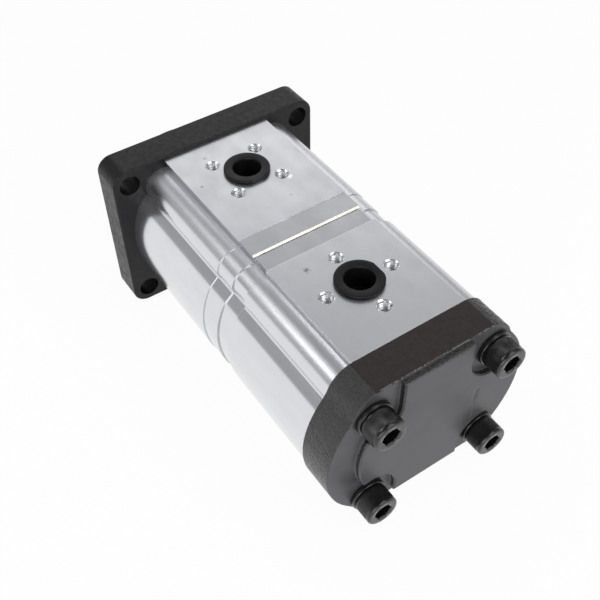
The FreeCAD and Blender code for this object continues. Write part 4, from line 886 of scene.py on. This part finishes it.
class PUMP_OT_plugs(bpy.types.Operator):
    """Mould the four transport plugs"""

    bl_idname = "pump.plugs"
    bl_label = "Transport plugs"

    def execute(self, context):
        material = moulded_plastic("black polyethylene", context.scene.pump_colours.plug_plastic)
        for node in ("front_pressure_plug", "rear_pressure_plug", "front_suction_plug", "rear_suction_plug"):
            low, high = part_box(node)
            side = 1 if "pressure" in node else -1
            rim = high.z if side > 0 else low.z
            flat_behind = node.startswith("front")
            radius = (high.x - low.x) / 2 if flat_behind else (high.y - low.y) / 2
            centre = Vector((low.x + radius, high.y - radius, rim))
            bm = bmesh.new()
            skin(bm, self.rings(seat(centre, AXIS_Z * side, AXIS_X), radius, high.z - low.z))
            for vertex in bm.verts:
                if flat_behind:
                    vertex.co.y = max(vertex.co.y, low.y)
                else:
                    vertex.co.x = min(vertex.co.x, high.x)
            add_piece(
                finish_mesh(bm, node + "_moulded"), node + "_moulded", node + "_body",
                [material], [node],
            )
        return {"FINISHED"}

    @staticmethod
    def rings(place, radius, length):
        """The plug's half section, turned: rim, hollow stem and the ring in its floor."""
        # In millimetres up from the rim's face and out from the axis
        rim, foot = radius / MM, -length / MM
        stem = rim - 3.6
        cup = stem - 1
        section = [
            (foot, 0), (foot, stem - 0.8), (foot + 0.8, stem), (-2.6, stem - 0.05), (-1.75, stem),
            (-1.75, rim - 0.8), (-1.5, rim - 0.35), (-1.1, rim - 0.25), (-0.95, rim), (-0.3, rim),
            (-0.08, rim - 0.12), (0, rim - 0.35), (-0.05, rim - 1.2), (-0.05, cup + 0.9),
            (-0.2, cup + 0.35), (-0.7, cup + 0.05), (-1.4, cup), (foot + 3.4, cup - 0.25),
            (foot + 2.6, cup - 0.6), (foot + 2.4, cup - 1.6), (foot + 1.4, cup - 1.8), (foot + 1.4, 0),
        ]
        return turned(place, [(up * MM, out * MM) for up, out in section], 96)


class PUMP_OT_screws(bpy.types.Operator):
    """Forge the four through screws with knurled heads and hexagon sockets"""

    bl_idname = "pump.screws"
    bl_label = "Through screws"

    columns = 288
    knurls = 72

    def execute(self, context):
        colours, sizes = context.scene.pump_colours, context.scene.pump_sizes
        head = sizes.head_diameter / 2
        bm = bmesh.new()
        for place in corner_seats(SCREWS_LOW, SCREWS_HIGH, head):
            skin(bm, self.rings(place, sizes))
        # The heads' end faces take the lighter grey: some wear, and painted light where they face the key
        # softbox
        edge = SCREWS_LOW.y + 0.5 * MM
        for face in bm.faces:
            centre = face.calc_center_median()
            face.material_index = 1 if centre.y < edge and abs(face.normal.y) > 0.6 else 0
        add_piece(
            finish_mesh(bm, "socket_screws"), "socket_screws", HOUSING,
            [
                oxide_steel("black-oxidised steel", colours.screw_steel, 0.18),
                oxide_steel("worn black-oxidised steel", colours.screw_face, 0.34),
            ],
            ["through_screws"],
        )
        return {"FINISHED"}

    def rings(self, place, sizes):
        """Rings from the screw's point to its head and down into its socket. The head's top is at 0."""
        head, under = sizes.head_diameter / 2, -sizes.head_height
        shank, pitch = sizes.screw_diameter / 2, sizes.screw_pitch
        point = SCREWS_LOW.y - SCREWS_HIGH.y
        thread_end = point + sizes.screw_thread_length
        half_socket, deep = sizes.socket_width / 2, -sizes.socket_depth

        def knurled(angle):
            wave = abs((angle * self.knurls / (2 * math.pi)) % 1 - 0.5) * 2
            return head - sizes.knurl_depth * min(wave * 1.6, 1)

        def hexagon(angle):
            return half_socket / math.cos((angle + math.pi / 6) % (math.pi / 3) - math.pi / 6)

        thread_depth = 0.6 * pitch
        end = turned(place, [(point, 0), (point, shank - thread_depth - 0.6 * MM)], self.columns)
        thread = thread_rings(
            place, point + 0.8 * MM, thread_end, shank, thread_depth, pitch, self.columns, 6,
        )
        bevel, edge, steps = 0.45 * MM, 1.1 * MM, 4
        knurl_low, knurl_high, run_out = under + 1.5 * MM, -2.3 * MM, 0.3 * MM
        section = [
            (thread_end + 0.5 * MM, shank), (under, shank), (under, head - bevel),
            (under + 0.6 * bevel, head - 0.1 * MM), (under + bevel, head),
            (knurl_low - run_out, head), (knurl_low, knurled),
            (knurl_high, knurled), (knurl_high + run_out, head),
        ]
        for step in range(steps + 1):
            turn = math.pi / 2 * step / steps
            section.append((edge * (math.sin(turn) - 1), head + edge * (math.cos(turn) - 1)))
        mouth = half_socket / math.cos(math.pi / 6) + 0.25 * MM
        section += [
            (0, mouth), (-0.45 * MM, lambda angle: min(hexagon(angle), mouth)), (deep, hexagon),
            (deep, half_socket * 0.9), (deep - 0.9 * MM, 0),
        ]
        return end + thread + turned(place, section, self.columns)


class PUMP_OT_washers(bpy.types.Operator):
    """Turn the washers under the screw heads"""

    bl_idname = "pump.washers"
    bl_label = "Screw washers"

    def execute(self, context):
        colours, sizes = context.scene.pump_colours, context.scene.pump_sizes
        material = oxide_steel("oiled washer steel", tinted(colours.screw_steel, 1.3), 0.24)
        radius, bore = sizes.washer_diameter / 2, sizes.washer_bore / 2
        thick = WASHERS_HIGH.y - WASHERS_LOW.y
        # The rim is rounded off over this width and depth, in two steps
        rim = ((0.5 * MM, 0), (0.2 * MM, 0.12 * MM), (0, 0.45 * MM))
        section = [(0, bore)] + [(-deep, radius - width) for width, deep in rim]
        section += [(deep - thick, radius - width) for width, deep in reversed(rim)]
        section += [(-thick, bore), (0, bore)]
        bm = bmesh.new()
        for place in corner_seats(WASHERS_LOW, WASHERS_HIGH, radius):
            skin(bm, turned(place, section, 96))
        bmesh.ops.remove_doubles(bm, verts=bm.verts, dist=1e-7)
        add_piece(
            finish_mesh(bm, "head_washers"), "head_washers", HOUSING, [material],
            ["screw_washers"],
        )
        return {"FINISHED"}


class PUMP_OT_shaft_end(bpy.types.Operator):
    """Thread the drive shaft's end and finish the nut, washer and key on it"""

    bl_idname = "pump.shaft_end"
    bl_label = "Shaft end"

    def execute(self, context):
        colours, sizes = context.scene.pump_colours, context.scene.pump_sizes
        steel = turned_metal("ground gear steel", colours.ground_steel, 0.28)
        bright = turned_metal("bright steel", colours.bright_steel, 0.3)
        outer = sizes.shaft_thread / 2
        depth = 0.6 * sizes.shaft_pitch
        bm = solid_copy("drive_shaft")
        for vertex in bm.verts:
            reach = math.hypot(vertex.co.x, vertex.co.z)
            if vertex.co.y > SHAFT_THREAD_AT - 0.05 * MM and 0 < reach < outer + 0.05 * MM:
                shrink = (outer - depth) / outer
                vertex.co.x *= shrink
                vertex.co.z *= shrink
        mesh = soft_edged(bm, "ground_drive_shaft", sizes.edge_softness * 0.4)
        add_piece(mesh, "ground_drive_shaft", "drive_line", [steel], ["drive_shaft"])
        bm = bmesh.new()
        place = seat(Vector((0, SHAFT_THREAD_AT, 0)), AXIS_Y, AXIS_X)
        length = SHAFT_END - SHAFT_THREAD_AT
        start, end = 0.1 * MM, length - 1.2 * MM
        rings = thread_rings(place, start, end, outer - 0.03 * MM, depth, sizes.shaft_pitch, 64)
        rings.insert(0, ring(place, 0.05 * MM, outer - depth - 0.3 * MM, 64))
        rings.append(ring(place, length - 0.6 * MM, outer - depth, 64))
        skin(bm, rings)
        add_piece(finish_mesh(bm, "shaft_thread", 60), "shaft_thread", "drive_line", [steel])
        for node in ("shaft_nut", "nut_washer", "shaft_key", "retaining_ring"):
            paint_node(node, bright)
        return {"FINISHED"}


class PUMP_OT_inner_parts(bpy.types.Operator):
    """Finish the gears, bearing blocks, bushes, seals and dowels"""

    bl_idname = "pump.inner_parts"
    bl_label = "Inner parts"

    def execute(self, context):
        colours = context.scene.pump_colours
        steel = turned_metal("ground gears", colours.ground_steel, 0.28)
        finishes = {
            "_gear": steel,
            "_sleeve": steel,
            "_dowels": turned_metal("ground dowel steel", colours.bright_steel, 0.22),
            "_bushes": turned_metal("turned bronze", colours.bush_bronze, 0.3),
            "_block": milled_aluminium("turned block aluminium", colours.block_aluminium, 0.34),
            "_seal": moulded_rubber("black nitrile rubber", colours.seal_rubber),
        }
        for node in NODES:
            for ending, material in finishes.items():
                if node.endswith(ending):
                    paint_node(node, material)
        return {"FINISHED"}


class PUMP_OT_stage(bpy.types.Operator):
    """Set the camera, the pale floor and the studio lights"""

    bl_idname = "pump.stage"
    bl_label = "Stage"

    def execute(self, context):
        stage = context.scene.pump_stage
        self.add_camera(context, stage)
        self.add_floor(context, stage)
        self.light_room(context, stage)
        middle = Vector((MIDDLE_X, (SCREWS_LOW.y + FLANGE_REAR) / 2, 0))
        for name, settings in SOFTBOXES.items():
            self.softbox(context, name, middle, *settings)
        context.scene.view_settings.view_transform = "Standard"
        return {"FINISHED"}

    @staticmethod
    def add_camera(context, stage):
        data = bpy.data.cameras.new("camera")
        data.lens, data.sensor_width = stage.camera_lens, 36
        camera = bpy.data.objects.new("camera", data)
        context.scene.collection.objects.link(camera)
        look = Vector(stage.camera_aim) - Vector(stage.camera_at)
        turn = look.to_track_quat("-Z", "Y").to_matrix().to_4x4()
        camera.matrix_world = (
            Matrix.Translation(stage.camera_at) @ turn @ Matrix.Rotation(stage.camera_roll, 4, "Z")
        )
        context.scene.camera = camera

    @staticmethod
    def add_floor(context, stage):
        half = 4
        bm = bmesh.new()
        corners = ((-half, -half), (half, -half), (half, half), (-half, half))
        bm.faces.new([bm.verts.new((x, y, CAD_BOX[0][2] - 0.02 * MM)) for x, y in corners])
        floor = bpy.data.objects.new("floor", finish_mesh(bm, "floor"))
        context.scene.collection.objects.link(floor)
        material = bpy.data.materials.new("white paper")
        material.use_nodes = True
        tree = material.node_tree
        tree.nodes.clear()
        rays = add_node(tree, "ShaderNodeLightPath")
        seen = rays.outputs["Is Camera Ray"]
        for kind in ("Is Glossy Ray", "Is Transmission Ray"):
            either = add_node(tree, "ShaderNodeMath", {0: seen, 1: rays.outputs[kind]}, operation="MAXIMUM")
            seen = either.outputs["Value"]
        share = add_node(tree, "ShaderNodeMath", {0: seen, 1: 0.95}, operation="MULTIPLY")
        paper = add_node(tree, "ShaderNodeBsdfDiffuse", {"Color": (*stage.floor_colour, 1)})
        glow = add_node(tree, "ShaderNodeEmission", {"Strength": 1.0})
        mixed = add_node(tree, "ShaderNodeMixShader", {
            0: share.outputs["Value"], 1: paper.outputs["BSDF"], 2: glow.outputs["Emission"],
        })
        add_node(tree, "ShaderNodeOutputMaterial", {"Surface": mixed.outputs["Shader"]})
        floor.data.materials.append(material)

    @staticmethod
    def light_room(context, stage):
        """A pale horizon under grey walls, and plain white where the camera looks past the floor."""
        world = bpy.data.worlds.new("studio")
        context.scene.world = world
        world.use_nodes = True
        tree = world.node_tree
        tree.nodes.clear()
        place = add_node(tree, "ShaderNodeTexCoord")
        parts = add_node(tree, "ShaderNodeSeparateXYZ", {"Vector": place.outputs["Generated"]})
        # The sweep behind the floor ends 6 degrees above the horizon, and the ceiling begins at 41
        room = (1, 1, 1, 1)
        for colour, start, end in ((stage.wall_colour, 0.09, 0.13), (stage.ceiling_colour, 0.66, 0.84)):
            height = add_node(tree, "ShaderNodeMapRange", {
                "Value": parts.outputs["Z"], "From Min": start, "From Max": end,
            })
            room = add_node(tree, "ShaderNodeMix", {
                "Factor": height.outputs["Result"], FIRST_COLOUR: room, SECOND_COLOUR: (*colour, 1),
            }, data_type="RGBA").outputs[MIXED_COLOUR]
        rays = add_node(tree, "ShaderNodeLightPath")
        lit = add_node(tree, "ShaderNodeBackground", {"Color": room, "Strength": 1.0})
        plain = add_node(tree, "ShaderNodeBackground", {"Color": (1, 1, 1, 1), "Strength": 1.0})
        mixed = add_node(tree, "ShaderNodeMixShader", {
            0: rays.outputs["Is Camera Ray"], 1: lit.outputs["Background"], 2: plain.outputs["Background"],
        })
        add_node(tree, "ShaderNodeOutputWorld", {"Surface": mixed.outputs["Shader"]})

    @staticmethod
    def softbox(context, name, aim, heading, height, distance, width, tall, brightness):
        data = bpy.data.lights.new(name, "AREA")
        data.shape = "RECTANGLE"
        data.size, data.size_y = width, tall
        # An area lamp of this power looks as bright as a surface that glows at that strength
        data.energy = brightness * math.pi * width * tall
        lamp = bpy.data.objects.new(name, data)
        context.scene.collection.objects.link(lamp)
        turn, lift = math.radians(heading), math.radians(height)
        away = Vector((math.sin(turn) * math.cos(lift), math.cos(turn) * math.cos(lift), math.sin(lift)))
        lamp.location = aim + away * distance
        lamp.rotation_euler = away.to_track_quat("Z", "Y").to_euler()


class PUMP_PT_panel(bpy.types.Panel):
    """Steps and settings of the gear pump"""

    bl_idname = "PUMP_PT_panel"
    bl_label = "Gear pump"
    bl_space_type = "VIEW_3D"
    bl_region_type = "UI"
    bl_category = "Gear pump"

    def draw(self, context):
        layout = self.layout
        for step in STEPS:
            layout.operator(step.bl_idname)
        for group in ("pump_colours", "pump_sizes", "pump_stage"):
            settings = getattr(context.scene, group)
            box = layout.box()
            for name in settings.__annotations__:
                box.prop(settings, name)


STEPS = (
    PUMP_OT_stage, PUMP_OT_flange, PUMP_OT_bodies, PUMP_OT_port_threads, PUMP_OT_cover, PUMP_OT_plugs,
    PUMP_OT_screws, PUMP_OT_washers, PUMP_OT_shaft_end, PUMP_OT_inner_parts,
)
GROUPS = {"pump_colours": PumpColours, "pump_sizes": PumpSizes, "pump_stage": PumpStage}


def register():
    for group in GROUPS.values():
        bpy.utils.register_class(group)
    for name, group in GROUPS.items():
        setattr(bpy.types.Scene, name, bpy.props.PointerProperty(type=group))
    for step in STEPS:
        bpy.utils.register_class(step)
    bpy.utils.register_class(PUMP_PT_panel)


def unregister():
    bpy.utils.unregister_class(PUMP_PT_panel)
    for step in reversed(STEPS):
        bpy.utils.unregister_class(step)
    for name, group in GROUPS.items():
        delattr(bpy.types.Scene, name)
        bpy.utils.unregister_class(group)


def main():
    """Register the steps, then build every piece."""
    register()
    bpy.ops.pump.stage()
    bpy.ops.pump.flange()
    bpy.ops.pump.bodies()
    bpy.ops.pump.port_threads()
    bpy.ops.pump.cover()
    bpy.ops.pump.plugs()
    bpy.ops.pump.screws()
    bpy.ops.pump.washers()
    bpy.ops.pump.shaft_end()
    bpy.ops.pump.inner_parts()


if __name__ == "__main__":
    main()
